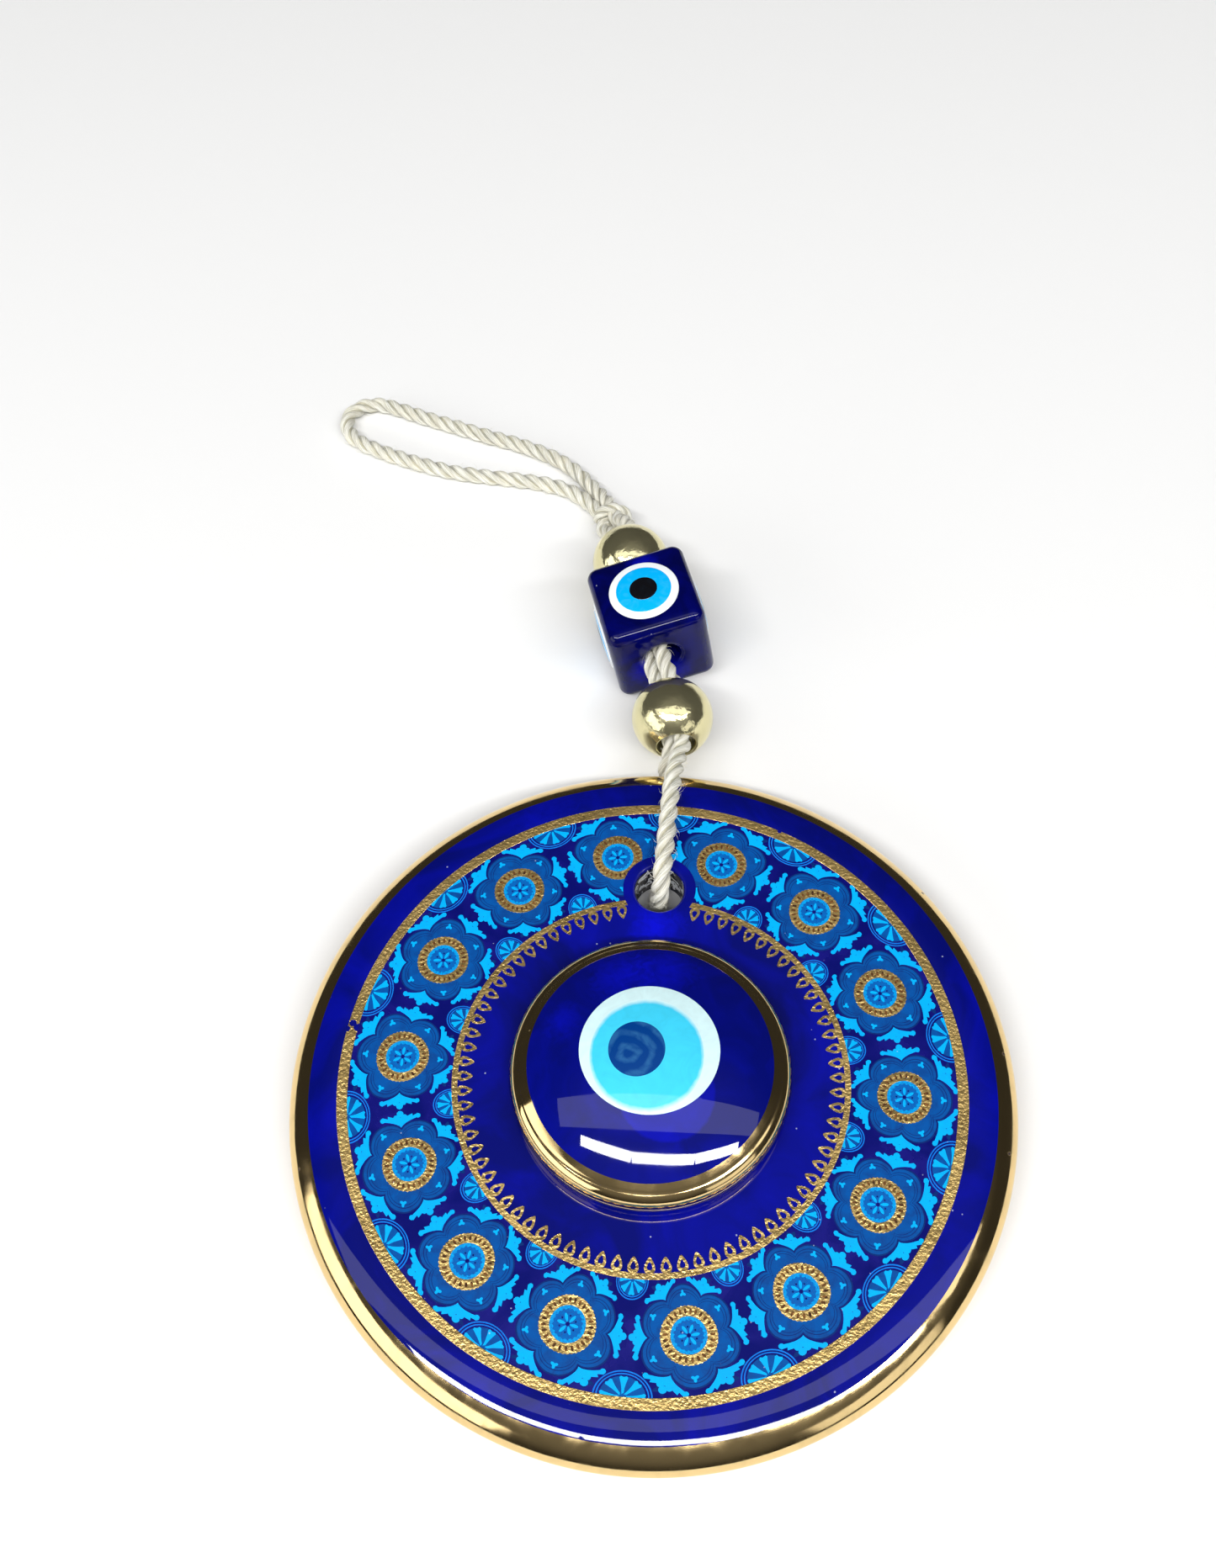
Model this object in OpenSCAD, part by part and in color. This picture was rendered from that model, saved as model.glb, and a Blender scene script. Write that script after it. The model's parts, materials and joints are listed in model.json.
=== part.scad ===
// Evil eye ornament: a gilded cobalt glass disc with a printed band and a domed glass eye,
// hung on a doubled twine that carries two gold beads and a glass cube bead.
// It lies face up. +Z is up, +Y runs from the disc's centre to its hanging hole, and the origin
// is under the disc's centre, on the surface that the ornament lies on. Millimetres.

/* [Glass disc] */
// Diameter over the gilded rim
disc_d = 100; // [96:1:140]
// Thickness of the disc
disc_t = 7; // [5:0.5:10]
// Width over which the disc's edge is rounded
edge_w = 6.5; // [5:0.5:6.5]
// Width of the gilded border, seen square on
gild_w = 3.1; // [2.5:0.1:4.5]
// Thickness of the gilding
gild_t = 0.12; // [0.08:0.01:0.2]

/* [Hanging hole] */
// Diameter of the hanging hole
hole_d = 7.2; // [6:0.2:8]
// Distance from the disc's centre to the hole's
hole_y = 28.8; // [27:0.1:30]
// Diameter of the unprinted ring around the hole
clear_d = 10.6; // [9:0.2:12]

/* [Printed band] */
// Inner radius of the printed band
band_in = 27.1; // [26:0.1:28]
// Outer radius of the printed band
band_out = 41.3; // [41:0.1:41.6]
// Thickness of one layer of print
print_t = 0.08; // [0.05:0.01:0.1]
// Width of the outer gold line
line_w = 1.5; // [0.8:0.1:2]
// Width of the line that carries the gold loops
lace_w = 0.8; // [0.5:0.1:1.2]
// Number of gold loops
lace_n = 76; // [40:1:80]
// Outside diameter of one gold loop
lace_loop_d = 1.5; // [1:0.1:1.8]
// Number of medallions
medallion_n = 14; // [8:1:14]
// Distance from a medallion's centre to its petals' centres
petal_r = 3.7; // [3:0.1:4]
// Diameter of one petal
petal_d = 4.4; // [3:0.1:4.6]
// Outside diameter of a medallion's gold ring
ring_d = 7.2; // [5:0.1:7.4]
// Inside diameter of a medallion's gold ring
ring_hole_d = 4.8; // [3:0.1:5]
// Outside diameter of a wheel on the band's outer edge
outer_wheel_d = 6.4; // [4:0.1:6.8]
// Outside diameter of a wheel on the band's inner edge
inner_wheel_d = 5.2; // [3:0.1:5.4]

/* [Glass dome] */
// Diameter over the dome's gilded rim
dome_d = 38.2; // [30:0.2:42]
// Height of the dome above the glue
dome_h = 9.7; // [8:0.1:14]
// Height of the dome's rolled rim
dome_rim_h = 4.8; // [3:0.1:6]
// Thickness of the glue under the dome
glue_t = 0.3; // [0.1:0.1:0.6]
// Diameter of the white of the eye
white_d = 18.9; // [12:0.1:22]
// Diameter of the light blue of the eye
blue_d = 15; // [8:0.1:17]
// Diameter of the pupil
pupil_d = 7.4; // [4:0.1:8]
// Thickness of one glass layer of the eye
eye_t = 0.35; // [0.2:0.05:0.6]

/* [Beads] */
// Diameter of a gold bead
bead_d = 12.8; // [11:0.1:14]
// Diameter of the beads' bores
bore_d = 6; // [6:0.1:7]
// Side of the cube bead
cube_w = 16.2; // [14:0.1:17]
// Radius of the cube's rounded edges
cube_r = 1.9; // [1:0.1:2.5]
// Turn of the cube about the cord
cube_roll = 6; // [0:1:6]
// Diameter of the white of a cube eye
cube_white_d = 11.3; // [8:0.1:11.6]
// Diameter of the blue of a cube eye
cube_blue_d = 9; // [5:0.1:9.4]
// Diameter of the pupil of a cube eye
cube_pupil_d = 4.7; // [2:0.1:5]
// Thickness of the white of a cube eye
cube_white_t = 0.4; // [0.2:0.05:0.5]
// Thickness of the blue and of the pupil of a cube eye
cube_eye_t = 0.15; // [0.1:0.05:0.2]

/* [Cord] */
// Diameter of the twine
cord_d = 2.6; // [2:0.1:2.6]
// Diameter of the knot
knot_d = 5.8; // [5:0.1:7]

/* [Hidden] */
$fn = 64;

// The disc rests on its near edge and on the strand of cord that passes under it.
cord_gap = 0.15;
disc_r = disc_d / 2;
flat_r = disc_r - edge_w;
half_t = disc_t / 2;
tilt = atan((cord_d + cord_gap) / (hole_y + hole_d / 2 + flat_r));
edge_reach = sqrt(pow(edge_w * sin(tilt), 2) + pow(half_t * cos(tilt), 2));
disc_rise = flat_r * sin(tilt) + edge_reach;
gild_a = acos((edge_w - gild_w) / edge_w);

// Layers of print, from the glass upwards.
ground_z = disc_t;
figure_z = ground_z + print_t;
gold_z = figure_z + print_t;
cut_over = 1;
medallion_r = (band_in + band_out) / 2;
medallion_step = 360 / medallion_n;
first_medallion_a = 90 + 0.414 * medallion_step;
petal_n = 6;
palmette_in = petal_r + 1.3;
palmette_len = 2.3;
palmette_w = 2.4;
wheel_line_w = 0.35;
wheel_spoke_w = 0.6;
wheel_spoke_n = 10;

// The dome's outline: a rolled rim below a spherical cap.
dome_z = disc_t + glue_t;
dome_rim_r = dome_rim_h / 2;
dome_rim_c = dome_d / 2 - dome_rim_r;
dome_seam_a = 68;
seam_r = dome_rim_c + dome_rim_r * cos(dome_seam_a);
seam_z = dome_rim_r * (1 + sin(dome_seam_a));
cap_h = dome_h - seam_z;
cap_r = (pow(seam_r, 2) + pow(cap_h, 2)) / (2 * cap_h);
cap_c = dome_h - cap_r;
cap_steps = 6;
white_drop = 3 * eye_t;
blue_drop = 2 * eye_t;
pupil_x = -1.7;
pupil_y = 0.3;

// The string of beads. Each centre is a distance along a line that leans to the left.
string_x = 0.7;
string_gap = 10.4;
string_y = disc_r + string_gap;
string_lean = 14.4;
lower_bead_lean = 9;
cord_z = 8.35;
bead_z = cord_z - 0.35;
cube_z = cord_z + 0.4;
bead_gap_low = 4.4;
bead_gap_high = -0.35;
cube_s = bead_d / 2 + bead_gap_low + cube_w / 2;
upper_bead_s = cube_s + cube_w / 2 + bead_gap_high + bead_d / 2;

// The cord's route. The doubled twine passes through the hole, over and under the rim, through
// the three beads side by side, into the knot, and round the hanging loop.
over_rim_route = [
    [0, 28.8, 6.2], [0.1, 29, 8.2], [0.2, 29.9, 10.2], [0.4, 31.6, 11.1], [0.6, 34.5, 11.4],
    [0.8, 38.5, 11.5], [1, 42.5, 11.7], [1.2, 46, 11.5], [1.5, 49, 10.9], [2, 52.6, 9.7]
];
under_disc_route = [
    [0, 28.8, 6.2], [-0.1, 28.9, 4.4], [-0.2, 29.7, 2.6], [-0.3, 31.4, 1.5], [-0.4, 34, 1.3],
    [-0.4, 38, 1.3], [-0.4, 42, 1.3], [-0.4, 44, 1.3]
];
rim_turn_route = [
    [-0.4, 44, 1.3], [-0.3, 46.4, 1.5], [-0.2, 49.2, 2.6], [0, 51.2, 4.4], [0.2, 52.4, 6.5]
];
right_strand_route = [
    [2.1, 53.1, 9.6], [2.5, 55, 9.3], [0.7, 66.1, 9.3], [-1, 70.6, 9.3], [-4.8, 85.6, 9.3],
    [-8, 98.1, 9.3]
];
left_strand_route = [
    [0.5, 53.8, 7.1], [0.7, 54.9, 7.4], [-1.1, 65.9, 7.4], [-2.8, 70.2, 7.4],
    [-6.6, 85.2, 7.4], [-9.8, 97.7, 7.4]
];
right_neck_route = [
    [-8.2, 98.9, 9.2], [-8.7, 100.6, 8.4], [-9.5, 102.6, 6.8], [-10.4, 104.6, 5]
];
left_neck_route = [
    [-10.1, 98.7, 7.2], [-11, 100.2, 6], [-12, 101.9, 4.6], [-13.1, 104.2, 3.1]
];
loop_route = [
    [-11.6, 107.8, 3.8], [-12.2, 109.8, 3], [-13.8, 112.8, 2], [-16.4, 116.4, 1.4],
    [-19.4, 119.8, 1.3], [-23.6, 123, 1.3], [-30, 126, 1.3], [-36, 128, 1.3], [-42, 130.2, 1.3],
    [-48, 132.4, 1.3], [-53.4, 134.6, 1.3], [-57.6, 135.8, 1.3], [-61.2, 134.8, 1.3],
    [-63, 131.6, 1.3], [-61.8, 127.8, 1.3], [-59, 125.4, 1.3], [-54.2, 123, 1.3],
    [-48.4, 120.8, 1.3], [-42.6, 119, 1.3], [-37, 118, 1.3], [-30, 117.2, 1.3],
    [-25, 116.4, 1.3], [-20.6, 115, 1.3], [-17.2, 112.8, 1.3], [-14.6, 110, 1.6],
    [-12.8, 108, 2.4]
];
knot_at = [-11.5, 106.4, 3.3];
cord_sides = 8;

// Evenly spaced angles from one angle to another, in n steps.
function angles(from, to, n) = [for (i = [0:n]) from + (to - from) * i / n];

// A point on the disc's rounded edge, at angle a above mid height, set in by inset.
function edge_point(a, inset) =
    [flat_r + (edge_w - inset) * cos(a), half_t + (half_t - inset) * sin(a)];

// A point on the dome's rolled rim, at angle a above its middle, set in by inset.
function rim_point(a, inset) =
    [dome_rim_c + (dome_rim_r - inset) * cos(a), dome_rim_r + (dome_rim_r - inset) * sin(a)];

// A line along the dome's spherical cap between two radii, lowered by drop.
function cap_line(from, to, drop) = [
    for (i = [0:cap_steps])
    let (r = from + (to - from) * i / cap_steps)
    [r, cap_c + sqrt(pow(cap_r, 2) - pow(r, 2)) - drop]
];

function unit(v) = v / norm(v);

// Direction of a route at point i.
function heading(route, i) =
    unit(route[min(i + 1, len(route) - 1)] - route[max(i - 1, 0)]);

// Ring of points around route point i, square to the route. The route never runs along up.
function cord_ring(route, i, up) =
    let (
        t = heading(route, i),
        side = unit(cross(t, up)),
        top = cross(side, t)
    )
    [
        for (k = [0:cord_sides - 1])
        let (a = 360 * (k + 0.5) / cord_sides)
        route[i] + cord_d / 2 * (cos(a) * side + sin(a) * top)
    ];

// A tube of twine along a route.
module twine(route, up = [0, 0, 1]) {
    last = len(route) - 1;
    rings = [for (i = [0:last]) each cord_ring(route, i, up)];
    walls = [
        for (i = [0:last - 1], k = [0:cord_sides - 1])
        let (
            a = i * cord_sides + k,
            b = i * cord_sides + (k + 1) % cord_sides
        )
        each [[a, b, b + cord_sides], [a, b + cord_sides, a + cord_sides]]
    ];
    caps = [
        [for (k = [0:cord_sides - 1]) cord_sides - 1 - k],
        [for (k = [0:cord_sides - 1]) last * cord_sides + k]
    ];
    color("ivory") polyhedron(points = rings, faces = concat(walls, caps));
}

// Puts a piece of the disc where the tilted disc lies.
module on_disc() {
    translate([0, 0, disc_rise]) rotate([tilt, 0, 0]) translate([0, 0, -half_t]) children();
}

// Puts a piece of the dome on the disc.
module on_dome() {
    on_disc() translate([0, 0, dome_z]) children();
}

// Puts a bead, bored along +Y, at distance s along the string.
module on_string(s, z, lean) {
    x = string_x - s * sin(string_lean);
    y = string_y + s * cos(string_lean);
    translate([x, y, z]) rotate([0, 0, lean]) children();
}

module at_medallions() {
    for (i = [0:medallion_n - 1])
        rotate([0, 0, first_medallion_a + i * medallion_step])
            translate([medallion_r, 0]) children();
}

module at_wheels(r) {
    for (i = [0:medallion_n - 1])
        rotate([0, 0, first_medallion_a + (i + 0.5) * medallion_step])
            translate([r, 0]) children();
}

module ring(outer_r, inner_r) {
    difference() {
        circle(outer_r);
        circle(inner_r);
    }
}

// Keeps a flat figure inside the band and clear of the ring around the hanging hole.
module in_band() {
    difference() {
        intersection() {
            children();
            ring(band_out, band_in);
        }
        translate([0, hole_y]) circle(d = clear_d);
    }
}

module glass_disc() {
    outline = concat(
        [[0, disc_t]],
        [for (a = angles(90, gild_a, 5)) edge_point(a, 0)],
        [for (a = angles(gild_a, -gild_a, 16)) edge_point(a, gild_t)],
        [for (a = angles(-gild_a, -90, 5)) edge_point(a, 0)],
        [[0, 0]]
    );
    color("mediumblue") on_disc() difference() {
        rotate_extrude() polygon(outline);
        translate([0, hole_y, -cut_over]) cylinder(d = hole_d, h = disc_t + 2 * cut_over);
    }
}

module rim_gilding() {
    outline = concat(
        [for (a = angles(gild_a, -gild_a, 16)) edge_point(a, 0)],
        [for (a = angles(-gild_a, gild_a, 16)) edge_point(a, gild_t)]
    );
    color("gold") on_disc() rotate_extrude() polygon(outline);
}

// One flat layer of print at height z on the disc.
module layer(z) {
    on_disc() translate([0, 0, z]) linear_extrude(print_t) children();
}

module print_ground() {
    color("midnightblue") layer(ground_z) in_band() ring(band_out, band_in);
}

module flower() {
    circle(d = ring_d);
    for (i = [0:petal_n - 1])
        rotate([0, 0, i * 360 / petal_n]) translate([petal_r, 0]) circle(d = petal_d);
}

module print_flowers() {
    color("steelblue") layer(figure_z) in_band() at_medallions() flower();
}

module palmette() {
    polygon([
        [palmette_in, 0],
        [palmette_in + palmette_len * 0.3, -palmette_w * 0.3],
        [palmette_in + palmette_len * 0.8, -palmette_w / 2],
        [palmette_in + palmette_len * 0.6, -palmette_w * 0.15],
        [palmette_in + palmette_len, 0],
        [palmette_in + palmette_len * 0.6, palmette_w * 0.15],
        [palmette_in + palmette_len * 0.8, palmette_w / 2],
        [palmette_in + palmette_len * 0.3, palmette_w * 0.3]
    ]);
}

module print_palmettes() {
    color("deepskyblue") layer(figure_z) in_band() at_medallions()
        for (i = [0:petal_n - 1]) rotate([0, 0, (i + 0.5) * 360 / petal_n]) palmette();
}

module wheel(d) {
    ring(d / 2, d / 2 - wheel_line_w);
    for (i = [0:wheel_spoke_n - 1])
        rotate([0, 0, (i + 0.5) * 360 / wheel_spoke_n])
            translate([0, -wheel_spoke_w / 2]) square([d / 2 - wheel_line_w / 2, wheel_spoke_w]);
}

module print_wheels() {
    color("dodgerblue") layer(figure_z) in_band() {
        at_wheels(band_out) wheel(outer_wheel_d);
        at_wheels(band_in) wheel(inner_wheel_d);
    }
}

module print_hearts() {
    color("lightskyblue") layer(gold_z) in_band() at_medallions() circle(d = ring_hole_d);
}

module medallion_gold_rings() {
    color("goldenrod") layer(gold_z) in_band() at_medallions() ring(ring_d / 2, ring_hole_d / 2);
}

module outer_gold_line() {
    color("goldenrod") layer(ground_z) ring(band_out + line_w, band_out);
}

module inner_gold_lace() {
    line_r = band_in - lace_w;
    loop_r = lace_loop_d / 2;
    loop_wall = 0.4;
    loop_sink = 0.15;
    color("goldenrod") layer(ground_z) difference() {
        union() {
            ring(band_in, line_r);
            for (i = [0:lace_n - 1])
                rotate([0, 0, (i + 0.5) * 360 / lace_n])
                    translate([line_r - loop_r + loop_sink, 0]) ring(loop_r, loop_r - loop_wall);
        }
        translate([0, hole_y]) circle(d = clear_d);
    }
}

module dome_glue() {
    squeeze = 0.5;
    color("white") on_disc() translate([0, 0, disc_t])
        cylinder(r = dome_rim_c + squeeze, h = glue_t);
}

module dome_glass() {
    outline = concat(
        cap_line(0, white_d / 2, white_drop),
        cap_line(white_d / 2, seam_r, 0),
        [for (a = angles(dome_seam_a, -dome_seam_a, 16)) rim_point(a, gild_t)],
        [rim_point(-dome_seam_a, 0), rim_point(-90, 0), [0, 0]]
    );
    color("mediumblue") on_dome() rotate_extrude() polygon(outline);
}

module dome_gilding() {
    outline = concat(
        [for (a = angles(dome_seam_a, -dome_seam_a, 16)) rim_point(a, 0)],
        [for (a = angles(-dome_seam_a, dome_seam_a, 16)) rim_point(a, gild_t)]
    );
    color("gold") on_dome() rotate_extrude() polygon(outline);
}

module eye_white() {
    outline = concat(
        cap_line(blue_d / 2, white_d / 2, 0),
        cap_line(white_d / 2, 0, white_drop),
        cap_line(0, blue_d / 2, blue_drop)
    );
    color("white") on_dome() rotate_extrude() polygon(outline);
}

// The upper part of the light blue layer, down to drop.
module blue_lens(drop) {
    rotate_extrude() polygon(concat(
        cap_line(0, blue_d / 2, 0),
        cap_line(blue_d / 2, 0, drop)
    ));
}

module pupil_prism() {
    translate([pupil_x, pupil_y, 0]) cylinder(d = pupil_d, h = 2 * dome_h);
}

module eye_pupil() {
    color("midnightblue") on_dome() intersection() {
        blue_lens(eye_t);
        pupil_prism();
    }
}

module eye_light_blue() {
    color("turquoise") on_dome() difference() {
        blue_lens(blue_drop);
        intersection() {
            blue_lens(eye_t);
            pupil_prism();
        }
    }
}

module gold_bead() {
    color("palegoldenrod") difference() {
        sphere(d = bead_d);
        rotate([90, 0, 0]) cylinder(d = bore_d, h = 2 * bead_d, center = true);
    }
}

module lower_gold_bead() {
    on_string(0, bead_z, lower_bead_lean) gold_bead();
}

module upper_gold_bead() {
    on_string(upper_bead_s, bead_z, string_lean) gold_bead();
}

module on_cube() {
    on_string(cube_s, cube_z, string_lean) rotate([0, -cube_roll, 0]) children();
}

module cube_bead() {
    corner = cube_w / 2 - cube_r;
    color("navy") on_cube() difference() {
        hull() for (x = [-1, 1], y = [-1, 1], z = [-1, 1])
            translate(corner * [x, y, z]) sphere(cube_r, $fn = 32);
        rotate([90, 0, 0]) cylinder(d = bore_d, h = 2 * cube_w, center = true);
    }
}

// One layer of the four eyes around the cube, standing on the faces at height z above them.
module cube_eyes(d, t, z) {
    on_cube() for (i = [0:3])
        rotate([0, 90 * i, 0]) translate([0, 0, cube_w / 2 + z]) cylinder(d = d, h = t);
}

module cube_eye_whites() {
    color("white") cube_eyes(cube_white_d, cube_white_t, 0);
}

module cube_eye_blues() {
    color("deepskyblue") cube_eyes(cube_blue_d, cube_eye_t, cube_white_t);
}

module cube_eye_pupils() {
    color("black") cube_eyes(cube_pupil_d, cube_eye_t, cube_white_t + cube_eye_t);
}

module cord_over_rim() {
    twine(over_rim_route, [1, 0, 0]);
}

module cord_under_disc() {
    twine(under_disc_route, [1, 0, 0]);
}

module cord_rim_turn() {
    twine(rim_turn_route, [1, 0, 0]);
}

module cord_bead_strand_right() {
    twine(right_strand_route);
}

module cord_bead_strand_left() {
    twine(left_strand_route);
}

module cord_neck_right() {
    twine(right_neck_route);
}

module cord_neck_left() {
    twine(left_neck_route);
}

module cord_knot() {
    color("ivory") translate(knot_at) sphere(d = knot_d);
}

module cord_hanging_loop() {
    twine(loop_route);
}

glass_disc();
rim_gilding();
print_ground();
print_flowers();
print_palmettes();
print_wheels();
print_hearts();
medallion_gold_rings();
outer_gold_line();
inner_gold_lace();
dome_glue();
dome_glass();
dome_gilding();
eye_white();
eye_light_blue();
eye_pupil();
lower_gold_bead();
cube_bead();
cube_eye_whites();
cube_eye_blues();
cube_eye_pupils();
upper_gold_bead();
cord_over_rim();
cord_under_disc();
cord_rim_turn();
cord_bead_strand_right();
cord_bead_strand_left();
cord_neck_right();
cord_neck_left();
cord_knot();
cord_hanging_loop();
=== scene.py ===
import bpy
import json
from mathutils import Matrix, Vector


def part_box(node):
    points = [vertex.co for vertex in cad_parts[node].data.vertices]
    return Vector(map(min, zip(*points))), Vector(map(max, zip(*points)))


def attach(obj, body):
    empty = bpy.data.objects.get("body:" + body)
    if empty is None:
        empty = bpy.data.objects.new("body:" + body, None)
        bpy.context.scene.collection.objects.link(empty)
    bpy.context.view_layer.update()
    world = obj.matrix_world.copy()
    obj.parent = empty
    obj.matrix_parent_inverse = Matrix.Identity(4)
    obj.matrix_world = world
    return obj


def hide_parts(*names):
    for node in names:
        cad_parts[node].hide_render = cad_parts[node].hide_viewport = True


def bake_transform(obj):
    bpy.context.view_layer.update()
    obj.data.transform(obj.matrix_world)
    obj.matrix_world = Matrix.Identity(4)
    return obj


bl_info = {
    "name": "Evil eye ornament",
    "version": (1, 0, 0),
    "blender": (4, 5, 0),
    "location": "3D View > Sidebar > Evil eye",
    "description": "A gilded glass disc with a printed band and a domed eye, hung on beaded twine",
    "category": "Object",
}

import json
import math
import random

import bmesh
import bpy
from bpy.props import FloatProperty, FloatVectorProperty, IntProperty, PointerProperty
from mathutils import Matrix, Quaternion, Vector, noise

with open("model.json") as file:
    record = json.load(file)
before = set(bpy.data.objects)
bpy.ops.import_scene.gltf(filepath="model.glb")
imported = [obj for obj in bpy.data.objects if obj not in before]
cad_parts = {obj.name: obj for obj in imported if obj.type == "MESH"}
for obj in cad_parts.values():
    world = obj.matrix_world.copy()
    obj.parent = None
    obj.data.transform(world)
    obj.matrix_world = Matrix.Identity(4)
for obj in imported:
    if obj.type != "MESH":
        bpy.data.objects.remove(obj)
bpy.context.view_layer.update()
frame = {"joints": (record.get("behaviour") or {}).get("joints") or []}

MM = 0.001
TAU = 2 * math.pi
UP = Vector((0, 0, 1))
SHARP_ANGLE = math.radians(38)
WELD = 1e-7


def box_size(node):
    low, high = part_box(node)
    return high - low


def box_middle(node):
    low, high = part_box(node)
    return (low + high) / 2


JOINTS = {joint["name"]: joint for joint in frame["joints"]}

# The gold line is one flat layer of print on the disc's face, so its box gives the disc's lie.
LINE_BOX = box_size("outer_gold_line")
LAYER = 0.08 * MM
TILT = math.asin((LINE_BOX.z - LAYER) / LINE_BOX.x)
FACE = (
    Matrix.Translation(box_middle("outer_gold_line"))
    @ Matrix.Rotation(TILT, 4, "X")
    @ Matrix.Translation((0, 0, -LAYER / 2))
)
GLUE_HEIGHT = 0.3 * MM
# The eye sits a little off the dome's middle, away from the near side.
EYE_RISE = 0.57 * MM
DOME_BASE = FACE @ Matrix.Translation((0, 0, GLUE_HEIGHT))


# ---------------------------------------------------------------- sizes and colours


def length_of(name, description, default):
    return FloatProperty(
        name=name, description=description, default=default, subtype="DISTANCE", unit="LENGTH"
    )


def angle_of(name, description, default):
    return FloatProperty(
        name=name, description=description, default=default, subtype="ANGLE", unit="ROTATION"
    )


def count_of(name, description, default):
    return IntProperty(name=name, description=description, default=default, min=1)


def colour_of(name, description, red, green, blue):
    return FloatVectorProperty(
        name=name, description=description, default=(red, green, blue, 1), subtype="COLOR", size=4,
        min=0, max=1,
    )


class EYE_PG_disc(bpy.types.PropertyGroup):
    """Sizes of the glass disc and its gilded edge"""

    radius: length_of("Radius", "Radius over the gilded rim", box_size("glass_disc").x / 2)
    thickness: length_of("Thickness", "Thickness of the glass", 7 * MM)
    edge: length_of("Rounded edge", "Width over which the edge is rounded", 6.5 * MM)
    gilded: length_of("Gilded border", "Width of the gilding on the face", 3.1 * MM)
    gilding: length_of("Gilding", "Thickness of the gilding", 0.12 * MM)
    hole_radius: length_of("Hole", "Radius of the hanging hole", 3.6 * MM)
    hole_reach: length_of("Hole place", "Distance from the centre to the hole", 28.8 * MM)
    hole_round: length_of("Hole lip", "Rounding of the hole's lips", 0.5 * MM)


class EYE_PG_print(bpy.types.PropertyGroup):
    """Sizes of the printed band"""

    inner: length_of("Inner radius", "Inner radius of the band", 27.1 * MM)
    outer: length_of("Outer radius", "Outer radius of the band", 41.3 * MM)
    clear: length_of("Clear ring", "Radius of the unprinted ring at the hole", 5.3 * MM)
    medallions: count_of("Medallions", "Number of medallions", 14)
    turn: FloatProperty(
        name="First medallion", description="Steps from the hole to the first", default=0.414
    )
    line: length_of("Gold line", "Width of the outer gold line", 1.5 * MM)
    lace: length_of("Lace line", "Width of the line that carries the loops", 0.8 * MM)
    loops: count_of("Loops", "Number of gold loops", 76)


class EYE_PG_dome(bpy.types.PropertyGroup):
    """Sizes of the glass dome and its eye"""

    radius: length_of("Radius", "Radius over the dome's rim", box_size("dome_gilding").x / 2)
    height: length_of("Height", "Height above the glue", 9.7 * MM)
    rim: length_of("Rolled rim", "Height of the rolled rim", 4.8 * MM)
    seam: angle_of("Gilding end", "Angle on the rim where the gilding ends", math.radians(68))
    white: length_of("White", "Radius of the white of the eye", 9.45 * MM)
    blue: length_of("Light blue", "Radius of the light blue", 7.5 * MM)
    pupil: length_of("Pupil", "Radius of the pupil", 3.75 * MM)


class EYE_PG_beads(bpy.types.PropertyGroup):
    """Sizes of the beads"""

    gold_radius: length_of("Gold bead", "Radius of a gold bead", 6.4 * MM)
    bore: length_of("Bore", "Radius of the beads' bores", 3 * MM)
    cube: length_of("Cube", "Side of the cube bead", 16.2 * MM)
    cube_round: length_of("Cube edges", "Rounding of the cube's edges", 1.9 * MM)
    cube_roll: angle_of("Cube roll", "Turn of the cube about the cord", math.radians(8))
    cube_lean: angle_of("Cube lean", "Slack turn of the cube on the cord", math.radians(3))
    white: length_of("Cube white", "Radius of a cube eye's white", 5.65 * MM)
    blue: length_of("Cube blue", "Radius of a cube eye's blue", 4.5 * MM)
    pupil: length_of("Cube pupil", "Radius of a cube eye's pupil", 2.3 * MM)


class EYE_PG_twine(bpy.types.PropertyGroup):
    """Sizes of the twine"""

    diameter: length_of("Diameter", "Diameter over the three plies", 2.8 * MM)
    lay: length_of("Lay", "Length of one full turn of the plies", 8.4 * MM)
    step: length_of("Step", "Distance between two rings of the mesh", 0.34 * MM)


class EYE_PG_colours(bpy.types.PropertyGroup):
    """Colours of the glass, print, gold and twine"""

    deep_glass: colour_of("Deep glass", "Cobalt glass where it is thick", 0.0008, 0.003, 0.15)
    # Painted light: bright_glass is the colour of the painted bright patches and brighter swirls in the
    # glass.
    bright_glass: colour_of("Bright glass", "Cobalt glass where light gathers", 0.002, 0.004, 0.62)
    navy: colour_of("Navy print", "Ground of the band", 0.001, 0.003, 0.13)
    violet: colour_of("Violet print", "Second tone of the ground", 0.006, 0.005, 0.2)
    petrol: colour_of("Petrol print", "Rosettes", 0.001, 0.085, 0.36)
    dark_petrol: colour_of("Dark petrol print", "Outlines of the rosettes", 0.002, 0.028, 0.17)
    cyan: colour_of("Cyan print", "Palmettes and small figures", 0.0, 0.44, 0.98)
    sky: colour_of("Sky print", "Wheels and hearts", 0.005, 0.2, 0.78)
    gold: colour_of("Gold print", "Lines, rings and loops", 1.0, 0.7, 0.26)
    gilding: colour_of("Gilding", "Bright metal of the rims", 0.84, 0.62, 0.29)
    champagne: colour_of("Bead gold", "Pale metal of the beads", 0.78, 0.72, 0.42)
    white: colour_of("Eye white", "White glass", 0.72, 0.97, 1.0)
    turquoise: colour_of("Eye blue", "Light blue glass", 0.055, 0.67, 0.96)
    ink: colour_of("Pupil", "Dark blue glass", 0.0, 0.045, 0.24)
    enamel_blue: colour_of("Enamel blue", "Blue of the cube's eyes", 0.0, 0.47, 1.0)
    twine: colour_of("Twine", "Bleached twine", 0.99, 0.985, 0.9)
    # Painted shade: twine_shade darkens the twine in the valleys between the plies, and also tones its
    # darker fibres.
    twine_shade: colour_of("Twine shade", "Twine between the plies", 0.52, 0.49, 0.35)


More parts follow.
